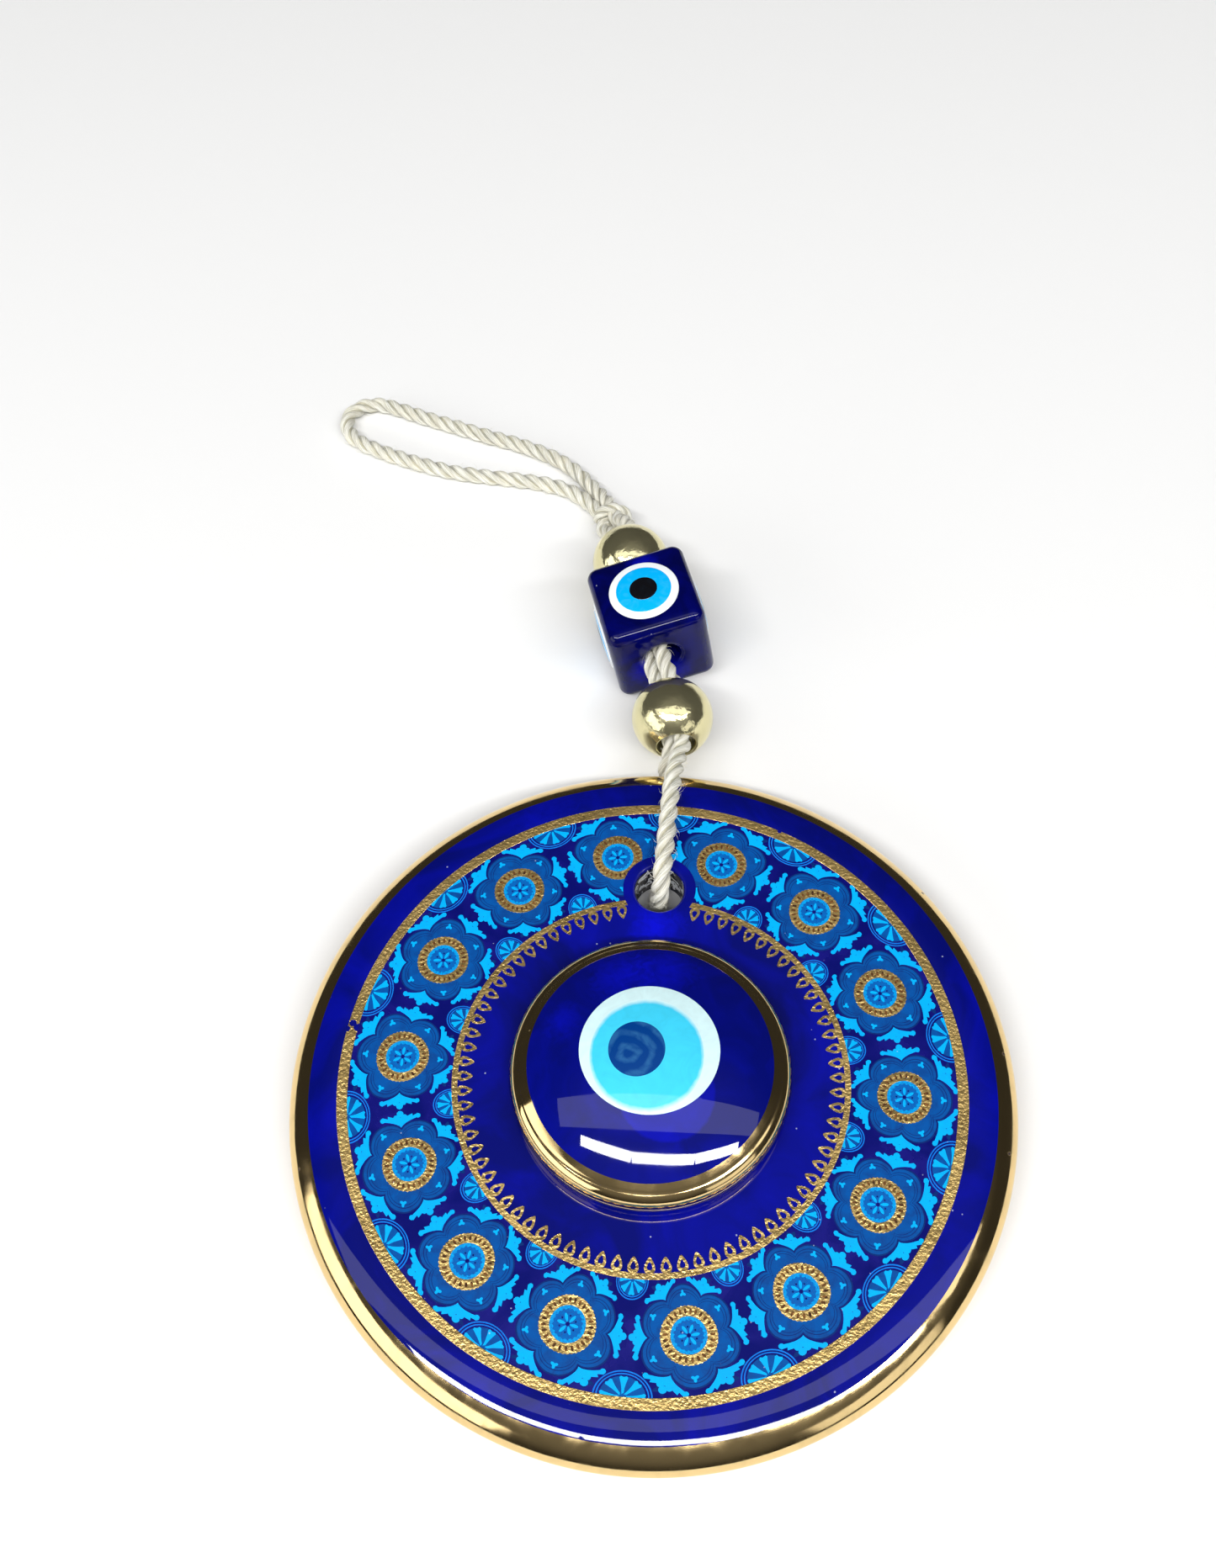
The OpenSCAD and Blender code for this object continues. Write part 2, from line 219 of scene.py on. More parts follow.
SETTINGS = {
    "eye_disc": EYE_PG_disc,
    "eye_print": EYE_PG_print,
    "eye_dome": EYE_PG_dome,
    "eye_beads": EYE_PG_beads,
    "eye_twine": EYE_PG_twine,
    "eye_colours": EYE_PG_colours,
}


# ---------------------------------------------------------------- materials


class Value:
    """A number that varies over a surface. Arithmetic on it adds Math nodes."""

    def __init__(self, finish, socket):
        self.finish = finish
        self.socket = socket

    def _math(self, operation, first, second):
        return self.finish.node("ShaderNodeMath", {"operation": operation}, {0: first, 1: second})

    def __add__(self, other):
        return self._math("ADD", self, other)

    def __sub__(self, other):
        return self._math("SUBTRACT", self, other)

    def __rsub__(self, other):
        return self._math("SUBTRACT", other, self)

    def __mul__(self, other):
        return self._math("MULTIPLY", self, other)

    def __truediv__(self, other):
        return self._math("DIVIDE", self, other)

    __radd__ = __add__
    __rmul__ = __mul__


class Nodes:
    """The nodes of a material or a world."""

    def __init__(self, owner):
        owner.use_nodes = True
        self.tree = owner.node_tree
        self.tree.nodes.clear()

    def node(self, kind, settings=None, inputs=None, output=0):
        made = self.tree.nodes.new(kind)
        for key, value in (settings or {}).items():
            if key == "stops":
                self._set_stops(made.color_ramp, value)
            else:
                setattr(made, key, value)
        for key, value in (inputs or {}).items():
            if isinstance(value, Value):
                self.tree.links.new(value.socket, made.inputs[key])
            else:
                made.inputs[key].default_value = value
        return Value(self, made.outputs[output])

    @staticmethod
    def _set_stops(ramp, stops):
        while len(ramp.elements) < len(stops):
            ramp.elements.new(0.5)
        for element, (position, shade) in zip(ramp.elements, stops):
            element.position = position
            element.color = (shade, shade, shade, 1)

    def end(self, kind, last):
        """Links the last node to the output of the tree."""
        out = self.tree.nodes.new(kind)
        self.tree.links.new(last.socket, out.inputs["Surface"])


class Finish(Nodes):
    """A material. Its patterns are laid out in the object's own coordinates."""

    def __init__(self, name):
        self.material = bpy.data.materials.new(name)
        super().__init__(self.material)
        self.place = self.node("ShaderNodeTexCoord", output="Object")

    def noise(self, size, detail=3, distortion=0.0):
        """Cloudy noise from 0 to 1 whose lumps are about size metres wide."""
        inputs = {"Vector": self.place, "Scale": 1 / size, "Detail": detail,
                  "Distortion": distortion}
        return self.node("ShaderNodeTexNoise", None, inputs)

    def cells(self, size):
        """Distance from the nearest of many scattered points, in cells."""
        inputs = {"Vector": self.place, "Scale": 1 / size}
        return self.node("ShaderNodeTexVoronoi", None, inputs, "Distance")

    def specks(self, size, full, gone):
        """Small scattered spots: 1 up to a distance of full from a point, 0 past gone."""
        return self.ramp(self.cells(size), (0.0, 1.0), (full, 1.0), (gone, 0.0))

    def ramp(self, value, *stops):
        """Turns a value into another between (position, level) stops."""
        return self.node("ShaderNodeValToRGB", {"stops": stops}, {0: value})

    def distance(self, point):
        """Distance in metres from a point of the object."""
        return self.node(
            "ShaderNodeVectorMath", {"operation": "DISTANCE"}, {0: self.place, 1: tuple(point)}, 1
        )

    def mix(self, factor, first, second):
        """A colour between two colours."""
        return self.node(
            "ShaderNodeMix", {"data_type": "RGBA"}, {0: factor, 6: first, 7: second}, 2
        )

    def bump(self, height, depth, strength=1.0):
        """A Normal from a height of 0 to 1 that stands depth metres high."""
        return self.node(
            "ShaderNodeBump", None, {"Height": height, "Distance": depth, "Strength": strength}
        )

    def surface(self, **inputs):
        """Ends the material in one Principled shader. Underscores stand for spaces."""
        named = {key.replace("_", " "): value for key, value in inputs.items()}
        self.end("ShaderNodeOutputMaterial", self.node("ShaderNodeBsdfPrincipled", None, named))
        return self.material


def toned(colour, share):
    """A colour whose red, green and blue are multiplied by a share."""
    return tuple(min(1.0, share * part) for part in colour[:3]) + (1,)


def glass_finish(name, colours, lights=(), swirl=14 * MM, glow=0.35, depth=1.0, shine=0.5):
    """Cobalt glass with painted light. Each painted spot is a (point, reach, level, soft) where a
    brighter patch of painted light stands in for light gathering in the glass.
    """
    finish = Finish(name)
    # Brighter swirls: partly real streaks in the glass, partly painted light; glow sets their top
    # level.
    cloud = finish.noise(swirl, 4, 1.5)
    bright = finish.ramp(cloud, (0.42, 0.0), (0.72, glow))
    # Painted light: a brighter, ragged patch round each given point.
    for point, reach, level, soft in lights:
        spot = finish.distance(point) / reach
        ragged = spot + soft * (finish.noise(1.6 * MM, 3, 1.5) - 0.5)
        bright = bright + finish.ramp(ragged, (1 - soft, level), (1.0, 0.0))
    bright = finish.node("ShaderNodeClamp", None, {0: bright})
    colour = finish.mix(bright, toned(colours.deep_glass, depth), colours.bright_glass)
    dust = finish.specks(3.4 * MM, 0.028, 0.04)
    colour = finish.mix(dust * 0.5, colour, (0.6, 0.65, 0.8, 1))
    smudge = finish.noise(9 * MM, 5)
    waves = finish.bump(finish.noise(11 * MM, 1), 0.12 * MM, 0.5)
    return finish.surface(
        Base_Color=colour, Roughness=finish.ramp(smudge, (0.4, 0.015), (0.8, 0.07)),
        IOR=1.5, Specular_IOR_Level=shine, Normal=waves,
    )


def hole_glass_finish(name):
    """Wall of the drilled hole: rough glass in near-black painted shade with painted white glints."""
    finish = Finish(name)
    chips = finish.noise(1.7 * MM, 4, 1.2)
    # Painted shade and painted glints: near black where the chips noise is low, near white where it is
    # high.
    colour = finish.mix(finish.ramp(chips, (0.53, 0.0), (0.58, 1.0)), (0.002, 0.003, 0.02, 1),
                        (0.92, 0.95, 1.0, 1))
    return finish.surface(
        Base_Color=colour, Roughness=0.12, IOR=1.52, Normal=finish.bump(chips, 0.25 * MM),
    )


def gilding_finish(name, colour, lumps, depth, roughness=0.06, worn=0.0, metal=1.0):
    """Bright thin metal over glass, with soft dents, and worn spots if worn is above 0."""
    finish = Finish(name)
    dents = finish.noise(lumps, 2, 0.3)
    tarnish = finish.noise(5 * MM, 4, 1.0)
    shade = finish.mix(
        finish.ramp(tarnish, (0.45, 0.0), (0.8, 0.6)), colour, toned(colour, 0.72)
    )
    if worn:
        pits = finish.specks(worn, 0.03, 0.05)
        shade = finish.mix(pits, shade, (0.03, 0.02, 0.03, 1))
        metal = 1 - pits
    rough = finish.ramp(tarnish, (0.35, roughness), (0.85, roughness + 0.14))
    return finish.surface(
        Base_Color=shade, Metallic=metal, Roughness=rough, Normal=finish.bump(dents, depth, 0.6)
    )


def print_finish(name, colour, second, patch=1.6 * MM, amount=0.5):
    """Fired decal print: two tones in soft patches, screen grain and a thin glossy flux."""
    finish = Finish(name)
    patches = finish.ramp(finish.noise(patch, 4, 0.6), (0.4, 0.0), (0.66, amount))
    tone = finish.mix(patches, colour, second)
    grain = finish.noise(0.14 * MM, 2)
    tone = finish.mix(finish.ramp(grain, (0.5, 0.0), (0.75, 0.4)), tone, toned(colour, 1.25))
    tone = finish.mix(finish.specks(2.6 * MM, 0.03, 0.045) * 0.45, tone, (0.6, 0.7, 0.85, 1))
    return finish.surface(
        Base_Color=tone, Roughness=finish.ramp(patches, (0.0, 0.2), (1.0, 0.34)),
        IOR=1.45, Normal=finish.bump(grain, 0.012 * MM, 0.5),
    )


def gold_print_finish(name, colour):
    """Gold paste fired on the glass: grainy metal with fine dark gaps."""
    finish = Finish(name)
    grain = finish.noise(0.45 * MM, 3)
    dark = (0.34, 0.17, 0.06, 1)
    shade = finish.mix(finish.ramp(grain, (0.26, 0.8), (0.38, 0.0)), colour, dark)
    rub = finish.noise(6 * MM, 3)
    rough = finish.ramp(rub, (0.3, 0.24), (0.7, 0.38))
    return finish.surface(
        Base_Color=shade, Metallic=0.92, Roughness=rough, Normal=finish.bump(grain, 0.16 * MM)
    )


def soft_edge_finish(name, inner, outer, centre, radius, soft):
    """Glass or enamel of one colour that fades into another near its rim."""
    finish = Finish(name)
    ragged = finish.distance(centre) + soft * 0.5 * (finish.noise(1.2 * MM, 2) - 0.5)
    rim = finish.ramp((ragged - (radius - soft)) / soft, (0.0, 0.0), (1.0, 1.0))
    cloud = finish.noise(3.5 * MM, 3, 2.5)
    body = finish.mix(finish.ramp(cloud, (0.35, 0.0), (0.75, 0.5)), inner, toned(inner, 0.82))
    return finish.surface(
        Base_Color=finish.mix(rim, body, outer), IOR=1.5, Coat_Weight=0.4, Coat_Roughness=0.02,
        Roughness=finish.ramp(cloud, (0.3, 0.03), (0.8, 0.08)),
    )


def pupil_finish(name, ink, pale, centre):
    """Dark blue glass with the spiral swirls left by the glass rod."""
    finish = Finish(name)
    shift = finish.node(
        "ShaderNodeVectorMath", {"operation": "SUBTRACT"}, {0: finish.place, 1: tuple(centre)}
    )
    rings = finish.node(
        "ShaderNodeTexWave", {"wave_type": "RINGS", "rings_direction": "SPHERICAL"},
        {"Vector": shift, "Scale": 150.0, "Distortion": 5.0, "Detail": 2.0, "Detail Scale": 1.5},
        "Fac",
    )
    light = finish.ramp(rings * finish.noise(2.4 * MM, 3, 2.0), (0.15, 0.0), (0.55, 0.6))
    return finish.surface(
        Base_Color=finish.mix(light, ink, pale), Roughness=0.03, IOR=1.5,
        Coat_Weight=0.4, Coat_Roughness=0.02,
    )


def twine_finish(name, colour, shade):
    """Bleached yarn: fibres along each ply and painted shade in the valleys between the plies."""
    finish = Finish(name)
    along = finish.node("ShaderNodeAttribute", {"attribute_name": "along"}, None, "Fac")
    across = finish.node("ShaderNodeAttribute", {"attribute_name": "across"}, None, "Fac")
    thread = finish.node(
        "ShaderNodeCombineXYZ", None, {"X": along * 420.0 + across * 1.5, "Y": across * 6.0}
    )
    fibres = finish.node(
        "ShaderNodeTexNoise", None, {"Vector": thread, "Scale": 1.0, "Detail": 4.0}
    )
    # Painted shade: darker towards the valleys between the plies.
    painted_valley_shade = finish.ramp(across * across, (0.35, 0.0), (1.0, 1.0))
    patches = finish.noise(3 * MM, 3)
    tone = finish.mix(painted_valley_shade * 0.85 + 0.75 * finish.ramp(fibres, (0.38, 1.0), (0.6, 0.0)),
                      colour, shade)
    warm = tuple(part * tint for part, tint in zip(colour[:3], (0.92, 0.86, 0.72))) + (1,)
    tone = finish.mix(finish.ramp(patches, (0.45, 0.0), (0.8, 0.55)), tone, warm)
    return finish.surface(
        Base_Color=tone, Roughness=0.82, Normal=finish.bump(fibres, 0.4 * MM),
        Sheen_Weight=0.25, Sheen_Roughness=0.5, Specular_IOR_Level=0.25,
    )


def glue_finish(name):
    """Clear set adhesive with small bubbles."""
    finish = Finish(name)
    bubbles = finish.ramp(finish.cells(0.9 * MM), (0.0, 1.0), (0.2, 0.0))
    colour = finish.mix(bubbles, (0.12, 0.14, 0.32, 1), (0.7, 0.75, 0.9, 1))
    return finish.surface(
        Base_Color=colour, Roughness=0.15, IOR=1.45, Normal=finish.bump(bubbles, 0.1 * MM)
    )


def enamel_finish(name, colour, second):
    """Glossy enamel with slight unevenness."""
    finish = Finish(name)
    cloud = finish.noise(1.5 * MM, 3, 1.0)
    tone = finish.mix(finish.ramp(cloud, (0.45, 0.0), (0.8, 0.14)), colour, second)
    return finish.surface(
        Base_Color=tone, Roughness=finish.ramp(cloud, (0.3, 0.05), (0.8, 0.13)), IOR=1.5,
        Normal=finish.bump(finish.noise(2.5 * MM, 1), 0.04 * MM, 0.4),
        Coat_Weight=0.3, Coat_Roughness=0.03,
    )


# ---------------------------------------------------------------- mesh helpers


def arc(centre, width, height, start, end, steps):
    """Points on an elliptical arc between two angles, as (radius, height) pairs."""
    turns = [start + (end - start) * i / steps for i in range(steps + 1)]
    return [(centre[0] + width * math.cos(a), centre[1] + height * math.sin(a)) for a in turns]


def lathe(bm, outline, steps=192, closed=False):
    """Spins an outline of (radius, height) points round the Z axis."""
    chain = [bm.verts.new((radius, 0, height)) for radius, height in outline]
    pairs = list(zip(chain, chain[1:]))
    if closed:
        pairs.append((chain[-1], chain[0]))
    edges = [bm.edges.new(pair) for pair in pairs]
    bmesh.ops.spin(
        bm, geom=chain + edges, cent=(0, 0, 0), axis=UP, dvec=(0, 0, 0), angle=TAU, steps=steps,
        use_merge=True, use_duplicate=False,
    )
    bmesh.ops.remove_doubles(bm, verts=bm.verts, dist=WELD)


def fill_flat(bm, height, normal):
    """Closes the flat region at a height between all the open loops that lie there."""
    loops = [
        edge for edge in bm.edges
        if edge.is_boundary and all(abs(v.co.z - height) < WELD for v in edge.verts)
    ]
    bmesh.ops.triangle_fill(bm, use_beauty=True, use_dissolve=False, edges=loops, normal=normal)


def put_in(bm, part):
    """Moves a part into a bmesh."""
    mesh = bpy.data.meshes.new("part")
    part.to_mesh(mesh)
    part.free()
    bm.from_mesh(mesh)
    bpy.data.meshes.remove(mesh)


def raise_faces(bm, faces, height):
    """Extrudes flat faces straight up into a solid."""
    made = bmesh.ops.extrude_face_region(bm, geom=faces)["geom"]
    tops = [g for g in made if isinstance(g, bmesh.types.BMVert)]
    bmesh.ops.translate(bm, verts=tops, vec=(0, 0, height))


def place_piece(name, bm, material, body, slot, place=None, stands_for=()):
    """Turns a bmesh into a smooth-shaded piece that rides on a body."""
    if place is not None:
        bmesh.ops.transform(bm, matrix=place, verts=bm.verts)
    for face in bm.faces:
        face.smooth = True
    for edge in bm.edges:
        if len(edge.link_faces) == 2:
            edge.smooth = edge.calc_face_angle(0) < SHARP_ANGLE
    mesh = bpy.data.meshes.new(name)
    bm.to_mesh(mesh)
    bm.free()
    mesh.materials.append(material)
    thing = bpy.data.objects.new(name, mesh)
    bpy.context.scene.collection.objects.link(thing)
    if isinstance(body, str):
        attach(thing, body)
    if stands_for:
        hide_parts(*stands_for)
    return thing


def closed_piece(name, bm, *rest, **more):
    """A piece whose shell is closed: its normals are turned outwards first."""
    bmesh.ops.remove_doubles(bm, verts=bm.verts, dist=WELD)
    bmesh.ops.recalc_face_normals(bm, faces=bm.faces)
    return place_piece(name, bm, *rest, **more)


# ---------------------------------------------------------------- twine

# The twine's route, as in the CAD model. It passes twice through every bead.
RIM_ROUTE = [
    (1.7, 60, 9.3), (2.5, 55, 9.3), (2, 52.6, 9.7), (1.5, 49, 10.9), (1.2, 46, 11.5),
    (1, 42.5, 11.7), (0.8, 38.5, 11.5), (0.6, 34.5, 11.4), (0.4, 31.6, 11.1), (0.2, 29.9, 10.2),
    (0.1, 29, 8.2), (0, 28.8, 6.2), (-0.1, 28.9, 4.4), (-0.2, 29.7, 2.6), (-0.3, 31.4, 1.5),
    (-0.4, 34, 1.3), (-0.4, 38, 1.3), (-0.4, 42, 1.3), (-0.3, 46.4, 1.5), (-0.2, 49.2, 2.6),
    (0, 51.2, 4.4), (0.2, 52.4, 6.3), (0.7, 54.9, 7.4), (-0.1, 60, 7.4),
]
RIGHT_STRAND = [
    (1.7, 60, 9.3), (0.7, 66.1, 9.3), (-1, 70.6, 9.3), (-4.8, 85.6, 9.3), (-7, 94.2, 9.3)
]
LEFT_STRAND = [
    (-0.1, 60, 7.4), (-1.1, 65.9, 7.4), (-2.8, 70.2, 7.4), (-6.6, 85.2, 7.4), (-8.8, 93.8, 7.4)
]
LOOP_ROUTE = [
    (-7, 94.2, 9.3), (-8, 98.1, 9.3), (-8.7, 100.6, 8.4), (-9.5, 102.6, 6.8), (-10.4, 104.6, 5),
    (-11.6, 107.8, 3.8), (-12.2, 109.8, 3), (-13.8, 112.8, 2), (-16.4, 116.4, 1.4),
    (-19.4, 119.8, 1.3), (-23.6, 123, 1.3), (-30, 126, 1.3), (-36, 128, 1.3), (-42, 130.2, 1.3),
    (-48, 132.4, 1.3), (-53.4, 134.6, 1.3), (-57.6, 135.8, 1.3), (-61.2, 134.8, 1.3),
    (-63, 131.6, 1.3), (-61.8, 127.8, 1.3), (-59, 125.4, 1.3), (-54.2, 123, 1.3),
    (-48.4, 120.8, 1.3), (-42.6, 119, 1.3), (-37, 118, 1.3), (-30, 117.2, 1.3),
    (-25, 116.4, 1.3), (-20.6, 115, 1.3), (-17.2, 112.8, 1.3), (-14.6, 110, 1.6),
    (-12.8, 108, 2.4), (-13.1, 104.2, 3.1), (-12, 101.9, 4.6), (-11, 100.2, 6),
    (-9.8, 97.7, 7.4), (-8.8, 93.8, 7.4),
]
SECTION_SIDES = 24
PLIES = 3


def smooth_route(route, step, floor=0.0):
    """Evenly spaced points on a smooth curve through a route given in millimetres."""
    points = [Vector(p) * MM for p in route]
    for point in points:
        point.z = max(point.z, floor)
    ends = [2 * points[0] - points[1]] + points + [2 * points[-1] - points[-2]]
    fine = []
    for a, b, c, d in zip(ends, ends[1:], ends[2:], ends[3:]):
        for i in range(24):
            t = i / 24
            fine.append(0.5 * (2 * b + (c - a) * t + (2 * a - 5 * b + 4 * c - d) * t**2
                               + (3 * b - a - 3 * c + d) * t**3))
    fine.append(points[-1])
    spaced, carried = [fine[0]], 0.0
    for a, b in zip(fine, fine[1:]):
        gap = (b - a).length
        while carried + gap >= step:
            a = a + (b - a) * ((step - carried) / gap)
            gap = (b - a).length
            spaced.append(a)
            carried = 0.0
        carried += gap
    return spaced


def frames_along(path):
    """(point, direction, side, top) along a path, without sudden turns of the side."""
    side = None
    frames = []
    for i, point in enumerate(path):
        direction = (path[min(i + 1, len(path) - 1)] - path[max(i - 1, 0)]).normalized()
        if side is None:
            side = direction.orthogonal().normalized()
        side = (side - direction * side.dot(direction)).normalized()
        frames.append((point, direction, side, direction.cross(side)))
    return frames


def ply_radius(turn, overall):
    """Distance from the axis to the surface of three pressed plies, at a turn round the axis."""
    wedge = TAU / PLIES
    off = (turn + wedge / 2) % wedge - wedge / 2
    ply = overall / 1.9
    reach = 0.9 * ply
    return reach * math.cos(off) + math.sqrt(ply**2 - (reach * math.sin(off)) ** 2), off * 2 / wedge


def twisted_twine(path, diameter, lay):
    """A tube of three-ply twine along a path, with the ply coordinates that its finish reads."""
    bm = bmesh.new()
    along = bm.verts.layers.float.new("along")
    across = bm.verts.layers.float.new("across")
    rings = len(path)
    bmesh.ops.create_grid(bm, x_segments=SECTION_SIDES, y_segments=rings - 1, size=1)
    bm.verts.ensure_lookup_table()
    run = 0.0
    for i, (point, direction, side, top) in enumerate(frames_along(path)):
        if i:
            run += (path[i] - path[i - 1]).length
        twist = TAU * run / lay
        swell = 1 + 0.06 * noise.noise(Vector((run / (1.9 * MM), 3.1, 0)))
        for j in range(SECTION_SIDES + 1):
            turn = TAU * j / SECTION_SIDES
            reach, off = ply_radius(turn, diameter / 2 * swell)
            angle = turn + twist
            vertex = bm.verts[i * (SECTION_SIDES + 1) + j]
            vertex.co = point + reach * (math.cos(angle) * side + math.sin(angle) * top)
            vertex[along] = run
            vertex[across] = off
    bmesh.ops.remove_doubles(bm, verts=bm.verts, dist=1e-6)
    bmesh.ops.holes_fill(bm, edges=[e for e in bm.edges if e.is_boundary], sides=0)
    bmesh.ops.recalc_face_normals(bm, faces=bm.faces)
    return bm


def fuzz(path, radius, count, seed, reach=1.6 * MM):
    """Loose fibres: short bent hairs that stand off the twine."""
    draw = random.Random(seed)
    frames = frames_along(path)
    bm = bmesh.new()
    for _ in range(count):
        point, direction, side, top = frames[draw.randrange(2, len(frames) - 2)]
        turn = draw.uniform(0, TAU)
        outward = math.cos(turn) * side + math.sin(turn) * top
        sweep = (direction * draw.choice((-1, 1)) * draw.uniform(0.5, 1.6)
                 + outward.cross(direction) * draw.uniform(-0.8, 0.8))
        size = draw.uniform(0.5, 1.0) * reach
        thick = draw.uniform(0.02, 0.034) * MM
        ring = bmesh.ops.create_circle(bm, segments=3, radius=thick)["verts"]
        turned = outward.to_track_quat("Z", "Y").to_matrix().to_4x4()
        start = point + outward * radius * 0.8
        bmesh.ops.transform(bm, matrix=Matrix.Translation(start) @ turned, verts=ring)
        edges = list({edge for v in ring for edge in v.link_edges})
        at = start
        for part in range(1, 5):
            t = part / 4
            goal = start + outward * size * (t - 0.35 * t * t) + sweep * size * 0.7 * t * t
            if goal.z < thick:
                goal.z = thick
            made = bmesh.ops.extrude_edge_only(bm, edges=edges)["geom"]
            moved = [g for g in made if isinstance(g, bmesh.types.BMVert)]
            edges = [g for g in made if isinstance(g, bmesh.types.BMEdge)]
            bmesh.ops.translate(bm, verts=moved, vec=goal - at)
            at = goal
    return bm


# ---------------------------------------------------------------- flat figures of the print

STRIP_RADIUS = 34.2 * MM
NOTCH = 5.05 * MM
TIP = 6.4 * MM
PETALS = 6


def outline_ring(bm, shape, steps, low, place, filled):
    """A ring of vertices on an outline. shape gives a point for each share of one turn."""
    ring = bmesh.ops.create_circle(bm, cap_ends=filled, radius=1, segments=steps)["verts"]
    for i, vertex in enumerate(ring):
        vertex.co = (*shape(i / steps), low)
    bmesh.ops.transform(bm, matrix=place, verts=ring)
    return ring


def figure(bm, shape, steps, low, high, place=Matrix.Identity(4)):
    """A flat solid between two heights."""
    ring = outline_ring(bm, shape, steps, low, place, True)
    raise_faces(bm, list({face for vertex in ring for face in vertex.link_faces}), high - low)


def ring_figure(bm, outer, inner, steps, low, high, place=Matrix.Identity(4)):
    """A flat ring between two outlines and two heights."""
    rings = [outline_ring(bm, shape, steps, low, place, False) for shape in (outer, inner)]
    edges = list({edge for ring in rings for vertex in ring for edge in vertex.link_edges})
    raise_faces(bm, bmesh.ops.bridge_loops(bm, edges=edges)["faces"], high - low)


def circle_of(radius, centre=(0, 0), squash=1.0):
    """Outline of a circle, or of an ellipse whose second half axis is squash times the first."""
    def shape(t):
        a = TAU * t
        return centre[0] + radius * math.cos(a), centre[1] + radius * squash * math.sin(a)
    return shape


def rosette_of(inset):
    """Outline of the six-petalled rosette, drawn in by inset."""
    def shape(t):
        a = TAU * t
        lobe = abs(math.cos(PETALS / 2 * a)) ** 0.75
        radius = NOTCH + (TIP - NOTCH) * lobe - inset
        return radius * math.cos(a), radius * math.sin(a)
    return shape


def leaf_of(start, length, width, waist=0.0):
    """Outline of a pointed leaf that starts at (start, 0) and runs along +X."""
    def shape(t):
        a = TAU * t
        x = (1 - math.cos(a)) / 2
        y = math.sin(a) / 2 * (1 - waist * (1 - x)) * (1 - 0.35 * x * x)
        return start + length * x, width * y
    return shape


def lobed_of(radius, lobes, depth, centre=(0, 0), turn=0.0):
    """Outline of a small bud with round lobes."""
    def shape(t):
        a = TAU * t
        r = radius * (1 + depth * math.cos(lobes * (a - turn)))
        return centre[0] + r * math.cos(a), centre[1] + r * math.sin(a)
    return shape


def palmette_arms(t):
    """Outline of two leafy arms that hug two petals and join over the notch between them."""
    spread = math.radians(20)
    half = 2 * t if t < 0.5 else 2 * (1 - t)
    a = spread * (2 * half - 1)
    away = abs(2 * half - 1)
    lobe = abs(math.sin(PETALS / 2 * a)) ** 0.75
    radius = NOTCH + (TIP - NOTCH) * lobe + (0.14 + 0.32 * away**3) * MM
    if t >= 0.5:
        tooth = (away * 3.0) % 1.0
        width = 0.3 + 1.05 * (1 - away) ** 1.5 + 0.42 * tooth * (away < 0.97)
        radius += width * MM
    return radius * math.cos(a), radius * math.sin(a)


def tulip_of(start, end, width):
    """Outline of a spoke that widens outwards and ends in a notch."""
    def shape(t):
        half = 2 * t if t < 0.5 else 2 * (1 - t)
        flare = 0.18 + 0.82 * half**1.8
        if half > 0.86:
            flare *= (1 - half) / 0.14
        x = start + (end - start) * min(half / 0.86, 1.0 + 0.12 * (1 - half) / 0.14)
        side = 1 if t < 0.5 else -1
        return x, side * width / 2 * flare
    return shape


def drop_of(length, width, size):
    """Outline of a drop that hangs along -X. A smaller one sits well inside a full one."""
    def shape(t):
        a = TAU * t
        x = (math.cos(a) - 1) / 2
        y = math.sin(a) * (0.36 + 0.64 * math.cos(a / 2) ** 2)
        return x * length * size - length * (1 - size) * 0.45, y * width * size
    return shape


def turned(angle, along=0.0, across=0.0):
    """Turns a figure round the medallion's centre after moving it along and across."""
    return Matrix.Rotation(angle, 4, "Z") @ Matrix.Translation((along, across, 0))


